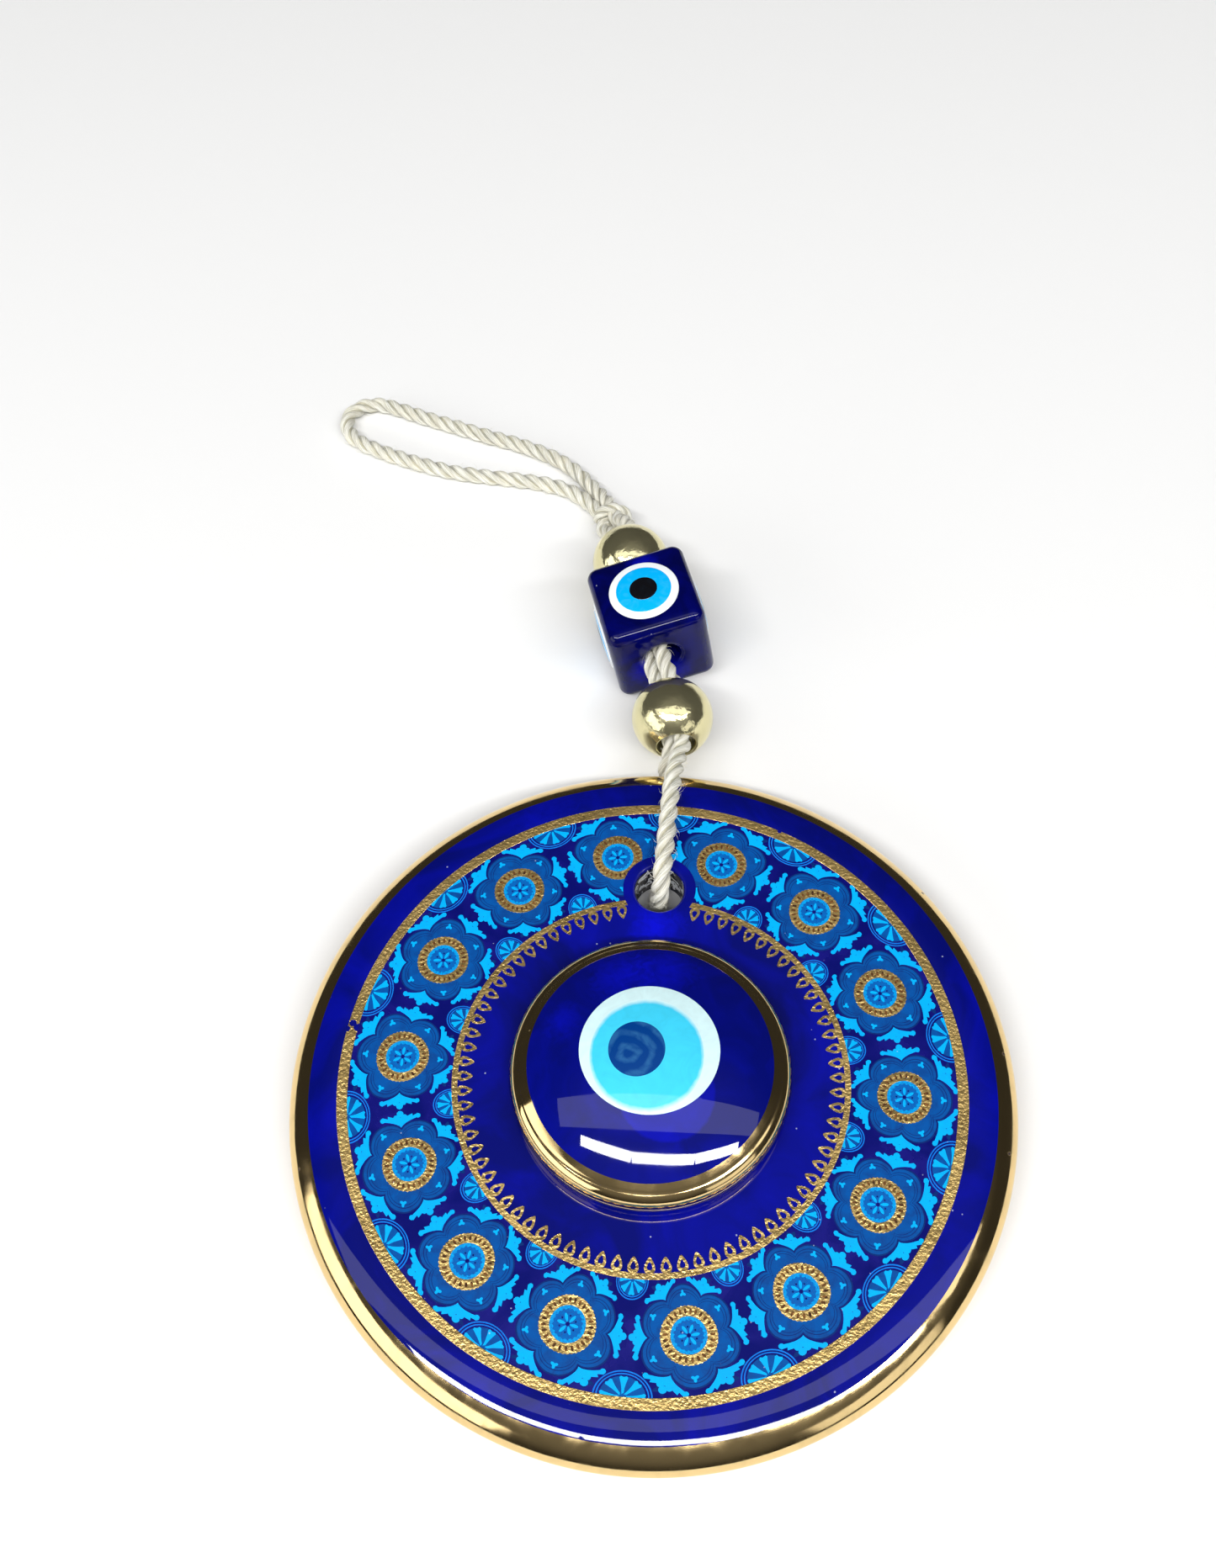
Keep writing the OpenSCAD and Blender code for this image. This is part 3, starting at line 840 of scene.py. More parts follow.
class Band:
    """Bends flat strips of figures round the disc and trims them at the band's edges."""

    def __init__(self, sizes, disc):
        self.inner = sizes.inner
        self.outer = sizes.outer
        self.clear = sizes.clear
        self.hole = Vector((0, disc.hole_reach, 0))
        self.step = TAU / sizes.medallions
        self.first = math.pi / 2 + sizes.turn * self.step
        self.count = sizes.medallions

    def bend(self, bm, radius, turn, inner, outer):
        """Bends a strip: its X runs outwards and its Y round the disc."""
        for vertex in bm.verts:
            angle = turn + vertex.co.y / radius
            reach = min(max(radius + vertex.co.x, inner), outer)
            vertex.co = (reach * math.cos(angle), reach * math.sin(angle), vertex.co.z)
        bmesh.ops.dissolve_degenerate(bm, dist=2e-6, edges=bm.edges)
        bmesh.ops.recalc_face_normals(bm, faces=bm.faces)
        if any((v.co - self.hole).xy.length < self.clear for v in bm.verts):
            self.cut_clear_ring(bm)

    def cut_clear_ring(self, bm):
        """Cuts the opening for the unprinted ring out of closed figures."""
        self.cut_round(bm, self.hole, self.clear)

    def cut_round(self, bm, centre, radius):
        """Cuts a round opening out of closed figures."""
        cutter = bmesh.new()
        bmesh.ops.create_cone(cutter, cap_ends=True, segments=72, radius1=radius,
                              radius2=radius, depth=2 * MM)
        bmesh.ops.translate(cutter, verts=cutter.verts, vec=centre)
        things = []
        for name, source in (("cut_print", bm), ("cut_round", cutter)):
            mesh = bpy.data.meshes.new(name)
            source.to_mesh(mesh)
            thing = bpy.data.objects.new(name, mesh)
            bpy.context.scene.collection.objects.link(thing)
            things.append(thing)
        cutter.free()
        cut = things[0].modifiers.new("cut", "BOOLEAN")
        cut.object = things[1]
        cut.solver = "EXACT"
        cut.use_self = True
        bpy.context.view_layer.update()
        done = things[0].evaluated_get(bpy.context.evaluated_depsgraph_get())
        bm.clear()
        bm.from_mesh(done.to_mesh())
        done.to_mesh_clear()
        for thing in things:
            mesh = thing.data
            bpy.data.objects.remove(thing)
            bpy.data.meshes.remove(mesh)

    def repeat(self, draw):
        """Draws one repeat of the strip for each medallion, into one bmesh."""
        whole = bmesh.new()
        for i in range(self.count):
            part = bmesh.new()
            draw(part)
            self.bend(part, STRIP_RADIUS, self.first + i * self.step, self.inner, self.outer)
            put_in(whole, part)
        return whole


# Heights of the layers of print above the glass, from the lowest up.
GROUND = 0.03 * MM
FIGURE = 0.045 * MM
FIGURE_TOP = 0.06 * MM
DRAWING = 0.07 * MM
CYAN = 0.08 * MM
GOLD = 0.13 * MM
MARK = 0.135 * MM

RING_OUT = 3.62 * MM
RING_IN = 2.32 * MM
OUTER_WHEEL = 3.1 * MM
INNER_WHEEL = 2.6 * MM


def draw_rosettes(bm):
    figure(bm, rosette_of(0), 108, GROUND, FIGURE)


def draw_rosette_fills(bm):
    figure(bm, rosette_of(0.2 * MM), 108, FIGURE, FIGURE_TOP)


def draw_rosette_lines(bm):
    ring_figure(bm, rosette_of(0.62 * MM), rosette_of(0.72 * MM), 108, FIGURE_TOP, DRAWING)
    ring_figure(bm, rosette_of(1.0 * MM), rosette_of(1.08 * MM), 108, FIGURE_TOP, DRAWING)
    for side in (1, -1):
        for outward in (1, -1):
            sprig = turned(math.radians(90 - outward * 58) * side, 7.0 * MM)
            for lean in (-40, 40):
                leaf = sprig @ Matrix.Rotation(math.radians(lean), 4, "Z")
                figure(bm, leaf_of(0, 0.95 * MM, 0.62 * MM), 12, GROUND, FIGURE, leaf)


def draw_palmettes(bm):
    for i in range(PETALS):
        axis = turned(TAU * (i + 0.5) / PETALS)
        figure(bm, palmette_arms, 84, GROUND, CYAN, axis)
        stem = axis @ turned(0, 6.0 * MM)
        figure(bm, leaf_of(-0.5 * MM, 0.9 * MM, 0.62 * MM), 10, GROUND, CYAN + 0.002 * MM, stem)
        for lobe, (x, y) in enumerate(((1.1, 0), (0.6, 0.56), (0.6, -0.56))):
            size = (0.46 if lobe == 0 else 0.4) * MM
            figure(bm, circle_of(size, (x * MM, y * MM)), 12, GROUND,
                   CYAN + (0.004 + 0.002 * lobe) * MM, stem)
        for side in (1, -1):
            curl = axis @ turned(side * math.radians(20.2), 6.95 * MM)
            figure(bm, circle_of(0.33 * MM), 10, GROUND, CYAN + 0.003 * MM, curl)


def draw_trefoils(bm):
    for i in range(PETALS):
        figure(bm, lobed_of(0.34 * MM, 3, 0.42, (5.15 * MM, 0)), 24, FIGURE_TOP, CYAN,
               turned(TAU * i / PETALS))
    for i in range(PETALS):
        spoke = turned(TAU * (i + 0.5) / PETALS)
        figure(bm, leaf_of(0.28 * MM, 1.12 * MM, 0.62 * MM, 0.55), 14, 0.1 * MM, 0.115 * MM, spoke)


def wheels():
    """(place, radius) of the wheels half a step round, on the band's outer and inner edge."""
    sizes = settings("eye_print")
    half_step = STRIP_RADIUS * math.pi / sizes.medallions
    for edge, radius in ((sizes.outer, OUTER_WHEEL), (sizes.inner, INNER_WHEEL)):
        yield turned(0, edge - STRIP_RADIUS, half_step), radius


def draw_wheel_fills(bm):
    for place, radius in wheels():
        figure(bm, circle_of(radius * 0.78), 48, GROUND, FIGURE, place)


def draw_wheel_rings(bm):
    for place, radius in wheels():
        for outer, inner in ((0, 0.15 * MM), (0.33 * MM, 0.47 * MM)):
            ring_figure(bm, circle_of(radius - outer), circle_of(radius - inner), 56, GROUND,
                        FIGURE_TOP, place)


def draw_wheel_spokes(bm):
    for place, radius in wheels():
        for i in range(8):
            figure(bm, tulip_of(0.3 * MM, radius * 0.74, 1.25 * MM), 24, FIGURE, CYAN,
                   place @ turned(TAU * i / 8))


def draw_hearts(bm):
    figure(bm, circle_of(RING_IN + 0.03 * MM), 40, FIGURE_TOP, 0.085 * MM)


def draw_heart_lace(bm):
    frill = lobed_of(1.86 * MM, 20, 0.05)
    ring_figure(bm, circle_of(RING_IN + 0.04 * MM), frill, 80, FIGURE_TOP, 0.1 * MM)


def draw_gold_rings(bm):
    rough = lobed_of(RING_OUT, 44, 0.012)
    ring_figure(bm, rough, circle_of(RING_IN), 88, FIGURE_TOP, GOLD)


def draw_ring_marks(bm):
    marks = 26
    for i in range(marks):
        place = turned(TAU * i / marks, 2.98 * MM)
        figure(bm, circle_of(0.36 * MM, squash=0.5), 8, GOLD - 0.01 * MM, MARK, place)


def draw_heart_centres(bm):
    figure(bm, circle_of(0.26 * MM), 12, 0.08 * MM, 0.1 * MM)
    for i in range(PETALS):
        figure(bm, circle_of(0.13 * MM, (1.05 * MM, 0)), 8, 0.08 * MM, 0.1 * MM,
               turned(TAU * i / PETALS))


# ---------------------------------------------------------------- operators


def settings(name):
    return getattr(bpy.context.scene, name)


def material(name, make, *arguments, **more):
    """One finish for each name."""
    made = name + "_finish"
    return bpy.data.materials.get(made) or make(made, *arguments, **more)


class EYE_OT_stage(bpy.types.Operator):
    """Sets up the camera, a pale floor and soft studio light"""

    bl_idname = "eye.stage"
    bl_label = "Camera, floor and light"

    def execute(self, context):
        self.add_camera(context)
        self.add_floor(context)
        self.add_lights(context)
        self.add_room(context)
        return {"FINISHED"}

    def add_camera(self, context):
        data = bpy.data.cameras.new("camera")
        data.sensor_fit = "VERTICAL"
        data.sensor_height = 24
        data.lens = 23.981
        data.clip_start = 10 * MM
        camera = bpy.data.objects.new("camera", data)
        context.scene.collection.objects.link(camera)
        place = Vector((5.611, -83.413, 208.77)) * MM
        target = Vector((-9.246, 52.79, 0)) * MM
        aim = (target - place).to_track_quat("-Z", "Y")
        roll = Quaternion((0, 0, 1), math.radians(-3.3056))
        camera.matrix_world = Matrix.Translation(place) @ (aim @ roll).to_matrix().to_4x4()
        context.scene.camera = camera

    def add_floor(self, context):
        bm = bmesh.new()
        bmesh.ops.create_circle(bm, cap_ends=True, segments=64, radius=3)
        mesh = bpy.data.meshes.new("floor")
        bm.to_mesh(mesh)
        bm.free()
        floor = bpy.data.objects.new("floor", mesh)
        floor.location.z = -0.2 * MM
        context.scene.collection.objects.link(floor)
        paper = Finish("floor_paper")
        rough = paper.ramp(paper.noise(200 * MM), (0, 0.8), (1, 0.9))
        mesh.materials.append(paper.surface(Base_Color=(0.92, 0.92, 0.915, 1), Roughness=rough))

    # Name, place, width, depth, brightness, and turn of a panel that faces straight down.
    # A panel without a turn faces the object.
    panels = (
        ("ceiling_bar", (0.24, -0.98, 1.5), 1.0, 0.2, 28, 0.0),
        ("ceiling_bar_left", (-0.69, -0.87, 1.5), 0.88, 0.2, 28, -0.25),
        ("ceiling_bar_right", (1.17, -0.87, 1.5), 0.88, 0.2, 28, 0.25),
        ("ceiling_glow", (0.24, -0.31, 1.5), 3.6, 0.47, 1.3, 0.0),
        ("left_window", (-1.3, -0.8, 0.6), 1.7, 0.8, 2.0, None),
        ("right_window", (1.25, -1.05, 0.5), 0.9, 0.6, 1.0, None),
    )

    def add_lights(self, context):
        for name, place, width, depth, brightness, turn in self.panels:
            data = bpy.data.lights.new(name, "AREA")
            data.shape = "RECTANGLE"
            data.size = width
            data.size_y = depth
            data.energy = brightness * math.pi * width * depth
            lamp = bpy.data.objects.new(name, data)
            down = turn is not None
            facing = Quaternion(UP, turn) if down else (-Vector(place)).to_track_quat("-Z", "Y")
            lamp.matrix_world = Matrix.Translation(place) @ facing.to_matrix().to_4x4()
            context.scene.collection.objects.link(lamp)
        context.scene.view_settings.view_transform = "Standard"

    def add_room(self, context):
        """Dim walls that grow lighter towards the ceiling."""
        world = bpy.data.worlds.new("room")
        room = Nodes(world)
        direction = room.node("ShaderNodeTexCoord", output="Generated")
        height = room.node("ShaderNodeVectorMath", {"operation": "DOT_PRODUCT"},
                           {0: direction, 1: (0.1, -0.42, 0.9)}, "Value")
        shade = room.node(
            "ShaderNodeMapRange", {"interpolation_type": "SMOOTHSTEP"},
            {"Value": height, "From Min": 0.45, "From Max": 0.97, "To Min": 0.035, "To Max": 0.16},
        )
        sky = {"Color": (1.0, 0.985, 0.96, 1), "Strength": shade}
        room.end("ShaderNodeOutputWorld", room.node("ShaderNodeBackground", None, sky))
        context.scene.world = world


class EYE_OT_twine(bpy.types.Operator):
    """Lays the doubled twine: round the rim, through the beads, and the hanging loop"""

    bl_idname = "eye.twine"
    bl_label = "Twine"

    def execute(self, context):
        twine, colours = settings("eye_twine"), settings("eye_colours")
        self.finish = material("natural_twine", twine_finish, colours.twine, colours.twine_shade)
        self.twine = twine
        rim_start = Vector((0.0012, 0.0485, 0.0081))
        rim_end = Vector((0.0012, 0.0555, 0.0081))
        self.lay_cord("twine_round_rim", RIM_ROUTE, ("disc", "string"), (rim_start, rim_end),
                      ("cord_over_rim", "cord_under_disc", "cord_rim_turn"), 260, 3)
        self.lay_cord("twine_right_strand", RIGHT_STRAND, ("string",), None,
                      ("cord_bead_strand_right",), 30, 5)
        self.lay_cord("twine_left_strand", LEFT_STRAND, ("string",), None,
                      ("cord_bead_strand_left",), 20, 7)
        pivot = Vector(JOINTS["loop_swing"]["pos_m"])
        lean = Vector(JOINTS["lower_bead_spin"]["pos_m"])
        run = Vector((pivot.x - lean.x, pivot.y - lean.y, 0)).normalized()
        knot = self.tie_knot()
        self.lay_cord("twine_loop", LOOP_ROUTE, ("string", "loop"),
                      (pivot - 2.2 * MM * run, pivot + 2.6 * MM * run),
                      ("cord_neck_right", "cord_neck_left", "cord_hanging_loop"), 330, 11, [knot])
        return {"FINISHED"}

    def lay_cord(self, name, route, bodies, bend, stands_for, hairs, seed, with_pieces=()):
        radius = self.twine.diameter / 2
        path = smooth_route(route, self.twine.step, radius)
        tube = twisted_twine(path, self.twine.diameter, self.twine.lay)
        body = bodies[0] if bend is None else None
        cord = place_piece(name, tube, self.finish, body, "natural_twine", None, stands_for)
        hair = place_piece(name + "_fuzz", fuzz(path, radius, hairs, seed), self.finish, body,
                           "natural_twine")
        if bend is not None:
            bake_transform(cord)
            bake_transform(hair)
        length = sum((b - a).length for a, b in zip(path, path[1:]))
        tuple(path[0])

    def tie_knot(self):
        """One turn of twine wrapped round the two legs, its ends tucked between them."""
        centre = box_middle("cord_knot")
        axis = Vector((-0.25, 0.93, -0.26)).normalized()
        side = axis.cross(UP).normalized()
        top = side.cross(axis)
        reach = self.twine.diameter * 0.74
        path = []
        steps = 60
        for i in range(steps + 1):
            turn = math.radians(-200 + 490 * i / steps)
            tuck = min(i, steps - i) / 9
            spread = reach * min(1.0, 0.35 + 0.65 * tuck)
            rise = (i / steps - 0.5) * self.twine.diameter * 1.5
            path.append(centre + axis * rise + spread * (math.cos(turn) * side * 1.12
                                                         + math.sin(turn) * top * 0.94))
        for point in path:
            point.z = max(point.z, self.twine.diameter * 0.5)
        tube = twisted_twine(path, self.twine.diameter * 0.78, self.twine.lay * 0.8)
        return place_piece("twine_knot", tube, self.finish, "loop", "natural_twine", None,
                           ("cord_knot",))


class EYE_OT_glass_disc(bpy.types.Operator):
    """Makes the cobalt glass disc, its hanging hole and its gilded rim"""

    bl_idname = "eye.glass_disc"
    bl_label = "Glass disc and gilding"

    def execute(self, context):
        disc, colours = settings("eye_disc"), settings("eye_colours")
        hole = FACE @ Vector((0, disc.hole_reach, 0))
        # Painted light: a painted bright patch below the hole, where light gathers in the glass, and a
        # fainter one near the far edge.
        painted_caustic = FACE @ Vector((0, disc.hole_reach - 6.3 * MM, 0))
        far_edge_painted_glow = FACE @ Vector((-0.35 * disc.radius, 0.86 * disc.radius, 0))
        glass = material("cobalt_glass", glass_finish, colours,
                         [(painted_caustic, 4.4 * MM, 0.8, 0.9), (far_edge_painted_glow, 7 * MM, 0.3, 0.9)])
        flat = disc.radius - disc.edge
        middle = -disc.thickness / 2
        soft = 1.16
        gild_angle = math.acos(((disc.edge - disc.gilded) / disc.edge) ** (1 / soft))
        support = 0.4 * MM

        def edge(start, end, inset, steps):
            """Points on the rounded edge, whose shoulder is softer than an ellipse."""
            points = []
            for x, z in arc((0, 0), 1, 1, start, end, steps):
                out, rise = abs(x) ** soft, math.copysign(abs(z) ** soft, z)
                points.append((flat + (disc.edge - inset) * out,
                               middle + (disc.thickness / 2 - inset) * rise))
            return points

        quarter = math.pi / 2
        outline = [(flat - support, 0)]
        outline += edge(quarter, gild_angle, 0, 14)
        outline += edge(gild_angle, -gild_angle, disc.gilding, 28)
        outline += edge(-gild_angle, -quarter, 0, 14)
        outline.append((flat - support, -disc.thickness))
        bm = bmesh.new()
        lathe(bm, outline)
        self.open_hole(bm, disc, support)
        fill_flat(bm, 0, UP)
        fill_flat(bm, -disc.thickness, -UP)
        closed_piece("disc_glass", bm, glass, "disc", "cobalt_glass", FACE, ("glass_disc",))

        # A thin sheet lining the hole, which carries its painted shade and painted glints.
        wall = bmesh.new()
        skin = 0.02 * MM
        lip = disc.hole_round
        lathe(wall, [(disc.hole_radius - skin, -lip), (disc.hole_radius - skin, lip - disc.thickness),
                     (disc.hole_radius, lip - disc.thickness), (disc.hole_radius, -lip)], 64, True)
        bmesh.ops.translate(wall, verts=wall.verts, vec=(0, disc.hole_reach, 0))
        closed_piece("hole_wall", wall, material("drilled_glass", hole_glass_finish), "disc",
                     "cobalt_glass", FACE)

        shell = edge(gild_angle, -gild_angle, 0, 36) + edge(-gild_angle, gild_angle, disc.gilding, 36)
        rim = bmesh.new()
        lathe(rim, shell, 256, True)
        gold = material("bright_gilding", gilding_finish, colours.gilding, 7 * MM, 0.1 * MM,
                        worn=6 * MM)
        closed_piece("rim_gold", rim, gold, "disc", "bright_gilding", FACE, ("rim_gilding",))
        return {"FINISHED"}

    def open_hole(self, bm, disc, support):
        lip, bore = disc.hole_round, disc.hole_radius
        outline = [(bore + lip + support, 0)]
        outline += arc((bore + lip, -lip), lip, lip, math.pi / 2, math.pi, 6)
        outline += arc((bore + lip, lip - disc.thickness), lip, lip, math.pi, 1.5 * math.pi, 6)
        outline.append((bore + lip + support, -disc.thickness))
        tube = bmesh.new()
        lathe(tube, outline, 64)
        bmesh.ops.translate(tube, verts=tube.verts, vec=(0, disc.hole_reach, 0))
        put_in(bm, tube)


class EYE_OT_print(bpy.types.Operator):
    """Prints the band of medallions, palmettes and wheels"""

    bl_idname = "eye.print_band"
    bl_label = "Printed band"

    def execute(self, context):
        colours = settings("eye_colours")
        band = Band(settings("eye_print"), settings("eye_disc"))
        navy = material("navy_print", print_finish, colours.navy, colours.violet, 5 * MM, 0.8)
        petrol = material("petrol_print", print_finish, colours.petrol, colours.dark_petrol)
        dark = material("dark_petrol_print", print_finish, colours.dark_petrol, colours.navy)
        cyan = material("cyan_print", print_finish, colours.cyan, (0.0, 0.36, 0.92, 1))
        sky = material("sky_print", print_finish, colours.sky, (0.003, 0.12, 0.55, 1))
        heart = material("heart_print", print_finish, (0.001, 0.13, 0.48, 1), colours.petrol,
                         0.4 * MM, 0.9)
        frill = material("frill_print", print_finish, (0.0, 0.38, 0.86, 1),
                         (0.001, 0.13, 0.48, 1), 0.2 * MM, 1.0)
        self.add_ground(band, navy)
        pieces = (
            ("rosette_borders", draw_rosettes, dark, "petrol_print", ()),
            ("rosettes", draw_rosette_fills, petrol, "petrol_print", ("print_flowers",)),
            ("rosette_lines", draw_rosette_lines, dark, "petrol_print", ()),
            ("palmettes", draw_palmettes, cyan, "cyan_print", ("print_palmettes",)),
            ("trefoils_and_leaves", draw_trefoils, cyan, "cyan_print", ()),
            ("wheel_fills", draw_wheel_fills, petrol, "petrol_print", ()),
            ("wheel_rings", draw_wheel_rings, sky, "sky_print", ("print_wheels",)),
            ("wheel_spokes", draw_wheel_spokes, cyan, "cyan_print", ()),
            ("medallion_hearts", draw_hearts, heart, "sky_print", ("print_hearts",)),
            ("heart_frills", draw_heart_lace, frill, "sky_print", ()),
            ("heart_centres", draw_heart_centres, navy, "navy_print", ()),
        )
        for name, draw, finish, slot, stands_for in pieces:
            closed_piece(name, band.repeat(draw), finish, "disc", slot, FACE, stands_for)
        return {"FINISHED"}

    def add_ground(self, band, navy):
        """The band's ground: a ring that is cut open by the clear ring round the hole."""
        reach = band.hole.y
        cut_y = (band.inner**2 - band.clear**2 + reach**2) / (2 * reach)
        cut_x = math.sqrt(band.inner**2 - cut_y**2)
        start = math.atan2(cut_y, -cut_x)
        rise = math.atan2(cut_y - reach, cut_x)
        inner = arc((0, 0), band.inner, band.inner, start, start + TAU - 2 * (start - math.pi / 2), 168)
        notch = arc((0, reach), band.clear, band.clear, rise, math.pi - rise, 40)
        outer = arc((0, 0), band.outer, band.outer, 0, TAU, 192)[:-1]
        bm = bmesh.new()
        for outline in (inner + notch[1:-1], outer):
            ring = bmesh.ops.create_circle(bm, radius=1, segments=len(outline))["verts"]
            for vertex, (x, y) in zip(ring, outline):
                vertex.co = (x, y, 0)
        bmesh.ops.triangle_fill(bm, use_beauty=True, use_dissolve=False, edges=bm.edges, normal=UP)
        raise_faces(bm, bm.faces[:], GROUND)
        closed_piece("print_ground_layer", bm, navy, "disc", "navy_print", FACE, ("print_ground",))


class EYE_OT_gold_print(bpy.types.Operator):
    """Prints the gold line, the medallions' rings and the gold lace"""

    bl_idname = "eye.gold_print"
    bl_label = "Gold print"

    # Worn gaps in the gold line: (angle, distance past its inner edge, radius).
    chips = (
        (math.radians(172.6), 0.1 * MM, 0.55 * MM),
        (math.radians(171.9), 0.9 * MM, 0.5 * MM),
        (math.radians(173.2), 1.5 * MM, 0.45 * MM),
        (math.radians(66), 1.4 * MM, 0.3 * MM),
    )

    def execute(self, context):
        sizes, colours = settings("eye_print"), settings("eye_colours")
        band = Band(sizes, settings("eye_disc"))
        gold = material("gold_print", gold_print_finish, colours.gold)
        umber = material("ring_marks", print_finish, (0.05, 0.022, 0.012, 1), (0.3, 0.13, 0.03, 1),
                         0.6 * MM, 0.8)
        closed_piece("medallion_rings", band.repeat(draw_gold_rings), gold, "disc", "gold_print",
                     FACE, ("medallion_gold_rings",))
        closed_piece("ring_seeds", band.repeat(draw_ring_marks), umber, "disc", "gold_print", FACE)

        line = bmesh.new()
        high = 0.07 * MM
        bevel = 0.05 * MM
        lathe(line, [(band.outer, 0), (band.outer + sizes.line, 0),
                     (band.outer + sizes.line, high - bevel),
                     (band.outer + sizes.line - bevel, high), (band.outer + bevel, high),
                     (band.outer, high - bevel)], 256, True)
        bmesh.ops.recalc_face_normals(line, faces=line.faces)
        for turn, reach, radius in self.chips:
            at = Vector((math.cos(turn), math.sin(turn), 0)) * (band.outer + reach)
            band.cut_round(line, at, radius)
        closed_piece("gold_line", line, gold, "disc", "gold_print", FACE, ("outer_gold_line",))
        self.add_lace(band, sizes, gold)
        return {"FINISHED"}

    def add_lace(self, band, sizes, gold):
        line_in = sizes.inner - sizes.lace
        width = TAU * line_in / sizes.loops
        length = 2.15 * MM
        loop = [drop_of(length, width * 0.46, size) for size in (1.0, 0.5)]
        high = 0.075 * MM
        bm = bmesh.new()
        lathe(bm, [(line_in, 0), (sizes.inner, 0), (sizes.inner, high), (line_in, high)], 228, True)
        loops = bmesh.new()
        for i in range(sizes.loops):
            turn = (i + 0.5) * width / line_in
            middle = Vector((math.cos(turn), math.sin(turn), 0)) * (line_in - 1.2 * MM)
            if (middle - band.hole).length < band.clear + 1.3 * MM:
                continue
            place = turned(0, 0, (i + 0.5) * width)
            ring_figure(loops, *loop, 20, 0, high + 0.004 * MM, place)
        for vertex in loops.verts:
            angle = vertex.co.y / line_in
            reach = line_in + 0.1 * MM + vertex.co.x
            vertex.co = (reach * math.cos(angle), reach * math.sin(angle), vertex.co.z)
        put_in(bm, loops)
        bmesh.ops.recalc_face_normals(bm, faces=bm.faces)
        band.cut_clear_ring(bm)
        closed_piece("gold_lace", bm, gold, "disc", "gold_print", FACE, ("inner_gold_lace",))


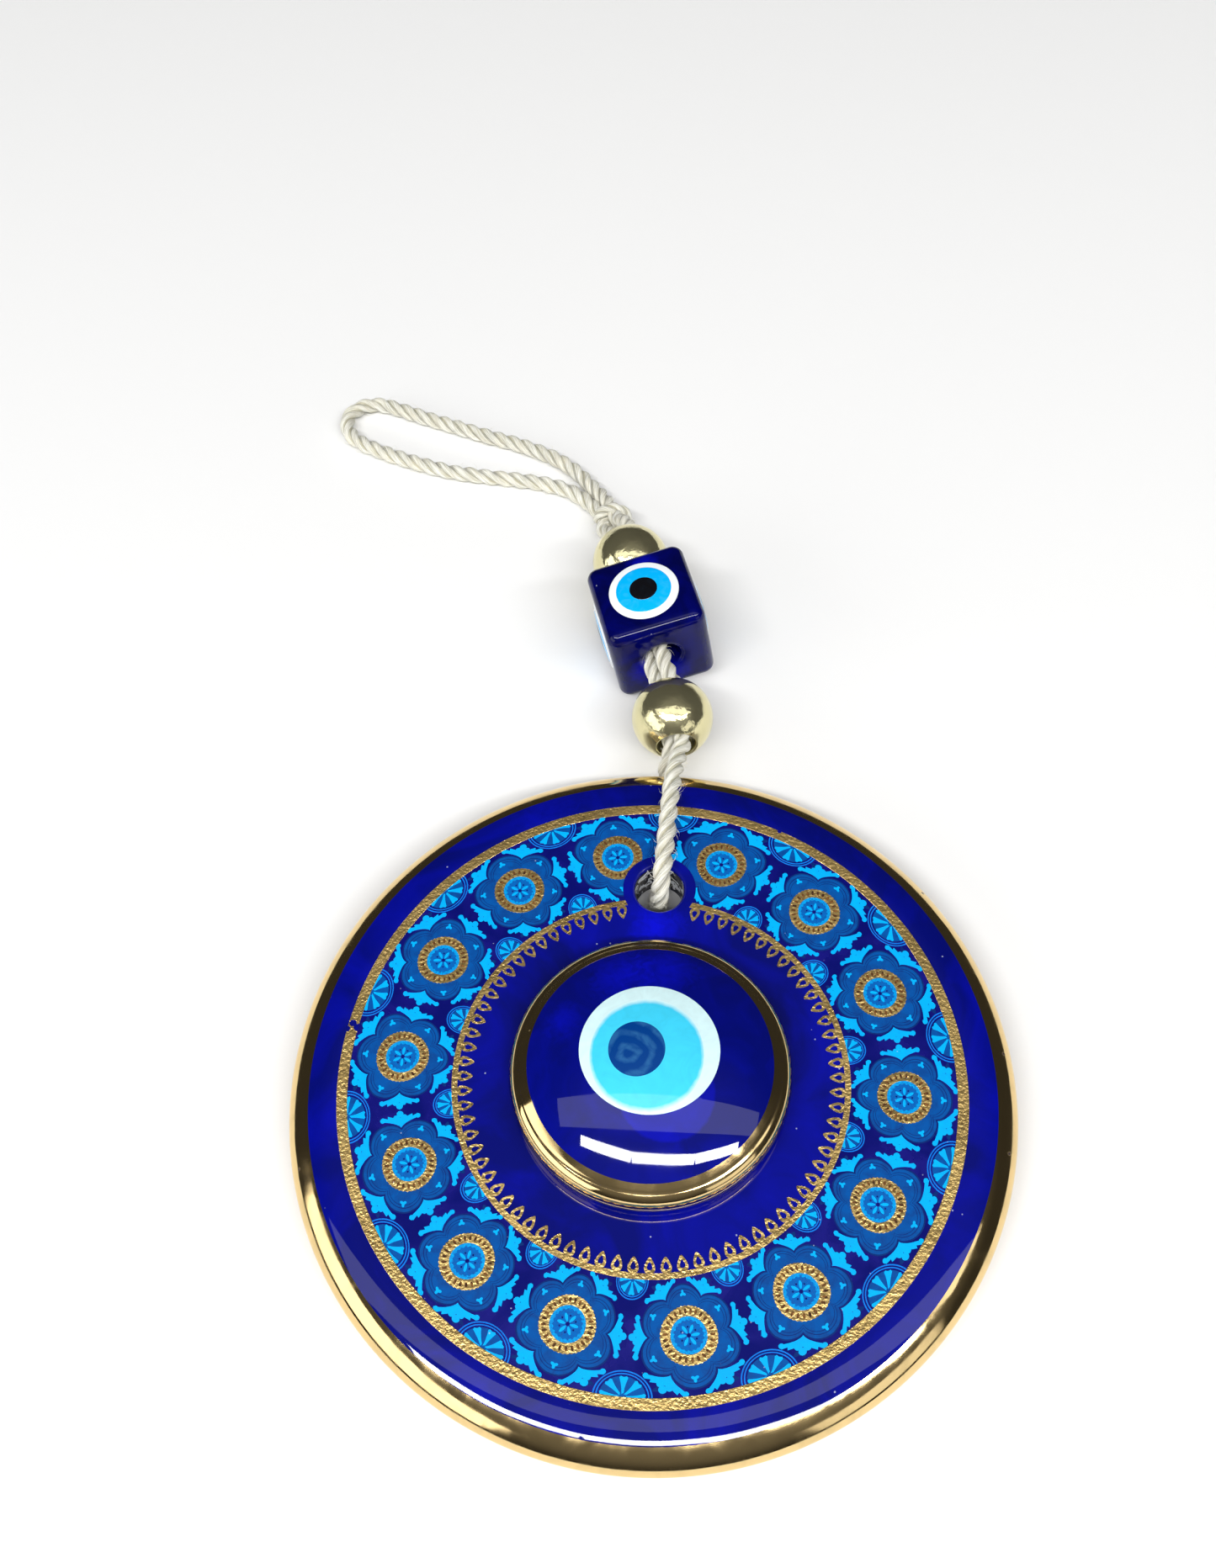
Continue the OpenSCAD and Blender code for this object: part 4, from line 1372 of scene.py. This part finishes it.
class EYE_OT_dome(bpy.types.Operator):
    """Makes the domed glass eye, its gilded rim and the glue under it"""

    bl_idname = "eye.dome"
    bl_label = "Glass dome and eye"

    def execute(self, context):
        dome, colours = settings("eye_dome"), settings("eye_colours")
        rim_r = dome.rim / 2
        rim_c = dome.radius - rim_r
        seam_r = rim_c + rim_r * math.cos(dome.seam)
        seam_z = rim_r * (1 + math.sin(dome.seam))
        rise = dome.height - seam_z
        cap_r = (seam_r**2 + rise**2) / (2 * rise)
        cap_c = dome.height - cap_r
        self.cap = lambda r: cap_c + math.sqrt(cap_r**2 - r**2)
        self.seam = (seam_r, seam_z - 0.5 * MM, dome.white)
        skin = 0.12 * MM

        def rolled(start, end, inset, steps):
            return arc((rim_c, rim_r), rim_r - inset, rim_r - inset, start, end, steps)

        # Painted light in the dome's glass: brighter patches, given as (x, y, reach, level, soft) in
        # millimetres, where light seen through the glass is painted on, as below the eye.
        painted_dome_glows = ((2.5, -5.5, 6.5, 0.32, 0.06), (-4.5, 11.6, 5, 0.6, 0.95),
                 (1.5, 12.6, 5, 0.6, 0.95), (-12, 4.5, 3, 0.35, 0.95))
        lights = [
            (DOME_BASE @ Vector((x * MM, y * MM, self.cap(math.hypot(x, y) * MM))), reach * MM,
             level, soft)
            for x, y, reach, level, soft in painted_dome_glows
        ]
        glass = material("dome_cobalt_glass", glass_finish, colours, lights, 9 * MM, 0.2)
        eye_depth = 0.35 * MM
        outline = [(r, self.cap(r) - eye_depth) for r in (0, 0.3 * dome.white, 0.7 * dome.white,
                                                         dome.white)]
        spread = 16
        outline += [(r, self.cap(r)) for r in
                    (dome.white + (seam_r - dome.white) * i / spread for i in range(spread + 1))]
        outline += rolled(dome.seam, -dome.seam, skin, 24)
        outline += rolled(-dome.seam, -math.pi / 2, 0, 6) + [(0, 0)]
        bm = bmesh.new()
        lathe(bm, outline)
        self.settle_eye_seat(bm)
        closed_piece("dome_glass_body", bm, glass, "disc", "cobalt_glass", DOME_BASE,
                     ("dome_glass",))

        reach = [seam_r - 1.15 * MM * i / 5 for i in range(6)]
        over = [(r, self.cap(r) + 0.03 * MM) for r in reversed(reach)]
        under = [(r, self.cap(r) - 0.06 * MM) for r in reach]
        shell = (over[:-1] + rolled(dome.seam, -dome.seam, 0, 36)
                 + rolled(-dome.seam, dome.seam, skin, 36) + under[1:])
        rim = bmesh.new()
        lathe(rim, shell, 224, True)
        gold = material("bright_gilding", gilding_finish, colours.gilding, 7 * MM, 0.1 * MM)
        closed_piece("dome_rim_gold", rim, gold, "disc", "bright_gilding", DOME_BASE,
                     ("dome_gilding",))
        self.add_glue(dome, rim_c)
        self.add_eye(dome, colours, eye_depth)
        return {"FINISHED"}

    def add_glue(self, dome, rim_c):
        fillet = arc((rim_c + 1.5 * MM, 0.55 * MM), 0.9 * MM, 0.55 * MM, -math.pi / 2, -math.pi, 6)
        bm = bmesh.new()
        lathe(bm, [(0, 0), *fillet, (0, GLUE_HEIGHT)], 128)
        closed_piece("dome_glue_bead", bm, material("clear_glue", glue_finish), "disc",
                     "clear_glue", FACE, ("dome_glue",))

    def seat(self, x, y):
        """Moves a point of the round eye to its place on the slightly oval, shifted eye."""
        seam_r, _, white = self.seam
        share = min(1.0, max(0.0, (seam_r - math.hypot(x, y)) / (seam_r - white)))
        return x * (1 - 0.016 * share) - 0.07 * MM * share, y * (1 - 0.045 * share) + EYE_RISE * share

    def settle_eye_seat(self, bm):
        for vertex in bm.verts:
            x, y, z = vertex.co
            if z > self.seam[1]:
                sunk = z - self.cap(math.hypot(x, y))
                x, y = self.seat(x, y)
                vertex.co = (x, y, self.cap(math.hypot(x, y)) + sunk)

    def lens(self, centre, radius, bottom, lift, oval=1.0):
        """A thin disc of glass that follows the dome, between two heights from its surface."""
        bm = bmesh.new()
        rings = 14
        line = [(radius * i / rings, 0) for i in range(rings + 1)]
        lathe(bm, line + [(radius, -1), *[(r, -1) for r, _ in reversed(line[:-1])]], 96)
        for vertex in bm.verts:
            if centre == (0, 0):
                x, y = self.seat(vertex.co.x, vertex.co.y)
            else:
                x, y = vertex.co.x + centre[0], vertex.co.y * oval + centre[1]
            drop = bottom if vertex.co.z < -0.5 else lift
            vertex.co = (x, y, self.cap(math.hypot(x, y)) + drop)
        return bm

    def add_eye(self, dome, colours, depth):
        middles = {"white": (0, 0), "blue": (-0.38 * MM, -0.4 * MM), "pupil": (-1.7 * MM, 0.15 * MM)}
        at = {
            part: DOME_BASE @ Vector((x, y, self.cap(math.hypot(x, y))))
            for part, (x, y) in middles.items()
        }
        white = material("white_glass", soft_edge_finish, colours.white, (0.5, 0.8, 0.95, 1),
                         at["white"], 9.9 * MM, 0.35 * MM)
        closed_piece("eye_white_glass", self.lens(middles["white"], dome.white, -depth, 0), white,
                     "disc", "white_glass", DOME_BASE, ("eye_white",))
        blue = material("turquoise_glass", soft_edge_finish, colours.turquoise, colours.white,
                        at["blue"], dome.blue + 0.35 * MM, 0.7 * MM)
        closed_piece("eye_blue_glass",
                     self.lens(middles["blue"], dome.blue, -0.2 * MM, 0.008 * MM, 1.055), blue,
                     "disc", "turquoise_glass", DOME_BASE, ("eye_light_blue",))
        ink = material("ink_glass", pupil_finish, colours.ink, (0.03, 0.16, 0.38, 1),
                       DOME_BASE @ Vector((-2.9 * MM, -0.9 * MM, self.cap(2 * MM))))
        closed_piece("eye_pupil_glass",
                     self.lens(middles["pupil"], dome.pupil, -0.15 * MM, 0.016 * MM, 1.02), ink,
                     "disc", "ink_glass", DOME_BASE, ("eye_pupil",))


def spin_place(joint):
    """Where a bead sits: its own Z runs along the axis that it spins on."""
    found = JOINTS[joint]
    turn = Vector(found["axis"]).to_track_quat("Z", "X")
    return Matrix.Translation(found["pos_m"]) @ turn.to_matrix().to_4x4()


class EYE_OT_gold_beads(bpy.types.Operator):
    """Makes the two pale gold beads"""

    bl_idname = "eye.gold_beads"
    bl_label = "Gold beads"

    def execute(self, context):
        beads, colours = settings("eye_beads"), settings("eye_colours")
        radius, bore, lip = beads.gold_radius, beads.bore, 0.35 * MM
        start = math.asin((bore + lip) / radius)
        outer = arc((0, 0), radius, radius, math.pi / 2 - start, start - math.pi / 2, 48)
        rim_z = math.sqrt(radius**2 - (bore + lip) ** 2)
        low = arc((bore + lip, -rim_z + lip), lip, lip, -math.pi / 2, -math.pi, 5)
        high = arc((bore + lip, rim_z - lip), lip, lip, math.pi, math.pi / 2, 5)
        gold = material("champagne_gold", gilding_finish, colours.champagne, 0.9 * MM, 0.1 * MM,
                        0.1, metal=0.92)
        for name, joint, body, node in (
            ("lower_bead_shell", "lower_bead_spin", "lower_bead", "lower_gold_bead"),
            ("upper_bead_shell", "upper_bead_spin", "upper_bead", "upper_gold_bead"),
        ):
            bm = bmesh.new()
            lathe(bm, outer + low + high, 96, True)
            closed_piece(name, bm, gold, body, "champagne_gold", spin_place(joint), (node,))
        return {"FINISHED"}


class EYE_OT_cube_bead(bpy.types.Operator):
    """Makes the cobalt cube bead and its four enamel eyes"""

    bl_idname = "eye.cube_bead"
    bl_label = "Cube bead"

    def execute(self, context):
        beads, colours = settings("eye_beads"), settings("eye_colours")
        turn = Vector(JOINTS["cube_spin"]["axis"]).to_track_quat("Z", "X").to_matrix().to_4x4()
        slack = Vector((0.5 * MM, 0.4 * MM, 0.1 * MM))
        place = (
            Matrix.Translation(box_middle("cube_bead") + slack)
            @ Matrix.Rotation(beads.cube_lean, 4, "Z") @ turn @ self.upright(JOINTS["cube_spin"])
            @ Matrix.Rotation(-beads.cube_roll, 4, "Z")
        )
        half, bore = beads.cube / 2, beads.bore
        bm = bmesh.new()
        bmesh.ops.create_cube(bm, size=beads.cube)
        bmesh.ops.bevel(
            bm, geom=bm.edges[:] + bm.verts[:], offset=beads.cube_round, offset_type="OFFSET",
            segments=7, profile=0.5, affect="EDGES", material=-1,
        )
        bm.faces.ensure_lookup_table()
        flats = [f for f in bm.faces if abs(f.normal.z) > 0.999 and f.calc_area() > half * half]
        bmesh.ops.delete(bm, geom=flats, context="FACES_ONLY")
        dish, lip = 1.3 * MM, 0.4 * MM
        sink = 0.35 * MM
        outline = [(bore + lip + dish, half)]
        outline += arc((bore + lip + dish, half - sink), dish, sink, math.pi / 2, math.pi, 5)[1:]
        wall_top = half - sink - lip
        outline += arc((bore + lip, wall_top), lip, lip, math.pi / 2, math.pi, 4)[1:]
        lower = [(r, -z) for r, z in reversed(outline)]
        tube = bmesh.new()
        lathe(tube, outline + lower, 56)
        put_in(bm, tube)
        fill_flat(bm, half, UP)
        fill_flat(bm, -half, -UP)
        middle = box_middle("cube_bead")
        # Painted light: the three points below get brighter patches of painted light, glints from
        # inside the cube's glass.
        corner_painted_glow = middle + Vector((4.5, -6.2, -4)) * MM
        other = middle + Vector((-1, 5.5, 7.2)) * MM
        front_painted_glow = middle + Vector((0.5, -7.6, -2)) * MM
        glass = material("cube_cobalt_glass", glass_finish, colours,
                         [(corner_painted_glow, 3.4 * MM, 0.4, 0.8), (other, 3.2 * MM, 0.5, 0.8),
                          (front_painted_glow, 4.2 * MM, 0.45, 0.8)], 6 * MM, 0.1, 0.35, 0.24)
        closed_piece("cube_glass", bm, glass, "cube", "cobalt_glass", place, ("cube_bead",))
        self.add_eyes(beads, colours, place, half)
        return {"FINISHED"}

    @staticmethod
    def upright(joint):
        """Turns a bead about its axis so that its X side faces straight up."""
        turn = Vector(joint["axis"]).to_track_quat("Z", "X")
        up_here = turn.inverted() @ UP
        return Matrix.Rotation(math.atan2(up_here.y, up_here.x), 4, "Z")

    def add_eyes(self, beads, colours, place, half):
        base = 0.12 * MM
        crown = 0.5 * MM

        def domed(radius, low, lift):
            edge = 0.18 * MM
            bow = [(radius * i / 8, low + crown * (1 - (radius * i / 8 / beads.white) ** 2) + lift)
                   for i in range(9)]
            side = bow[-1][1]
            rounded = arc((radius, side - edge), edge, edge, math.pi / 2, 0, 4)[1:]
            return bow + rounded + [(radius + edge, low - 0.3 * MM), (0, low - 0.3 * MM)]

        layers = (
            ("cube_whites", beads.white - 0.18 * MM, 0.0, "white_enamel", "cube_eye_whites",
             (0.93, 0.97, 1.0, 1), (0.8, 0.9, 1.0, 1)),
            ("cube_blues", beads.blue - 0.18 * MM, 0.035 * MM, "blue_enamel", "cube_eye_blues",
             colours.enamel_blue, (0.25, 0.75, 1.0, 1)),
            ("cube_pupils", beads.pupil - 0.18 * MM, 0.07 * MM, "black_enamel", "cube_eye_pupils",
             (0.004, 0.004, 0.006, 1), (0.01, 0.03, 0.05, 1)),
        )
        for name, radius, lift, slot, node, inner, rim in layers:
            whole = bmesh.new()
            for i in range(4):
                part = bmesh.new()
                lathe(part, domed(radius, base, lift), 72)
                seat = Matrix.Rotation(TAU * i / 4, 4, "Z") @ Matrix.Rotation(math.pi / 2, 4, "Y")
                bmesh.ops.transform(part, matrix=seat @ Matrix.Translation((0, 0, half)),
                                    verts=part.verts)
                put_in(whole, part)
            enamel = material(slot, enamel_finish, inner, rim)
            closed_piece(name, whole, enamel, "cube", slot, place, (node,))


# ---------------------------------------------------------------- panel and registration

OPERATORS = (
    EYE_OT_stage,
    EYE_OT_twine,
    EYE_OT_glass_disc,
    EYE_OT_print,
    EYE_OT_gold_print,
    EYE_OT_dome,
    EYE_OT_gold_beads,
    EYE_OT_cube_bead,
)


class EYE_PT_panel(bpy.types.Panel):
    """Lists the ornament's pieces and their sizes"""

    bl_idname = "EYE_PT_panel"
    bl_label = "Evil eye ornament"
    bl_space_type = "VIEW_3D"
    bl_region_type = "UI"
    bl_category = "Evil eye"

    def draw(self, context):
        for name, group in SETTINGS.items():
            box = self.layout.box()
            box.label(text=group.__doc__)
            for key in group.__annotations__:
                box.prop(getattr(context.scene, name), key)
        for operator in OPERATORS:
            self.layout.operator(operator.bl_idname)


CLASSES = (*SETTINGS.values(), *OPERATORS, EYE_PT_panel)


def register():
    for cls in CLASSES:
        bpy.utils.register_class(cls)
    for name, group in SETTINGS.items():
        setattr(bpy.types.Scene, name, PointerProperty(type=group))


def unregister():
    for name in SETTINGS:
        delattr(bpy.types.Scene, name)
    for cls in reversed(CLASSES):
        bpy.utils.unregister_class(cls)


def main():
    register()
    for operator in OPERATORS:
        group, name = operator.bl_idname.split(".")
        getattr(getattr(bpy.ops, group), name)()


if __name__ == "__main__":
    main()
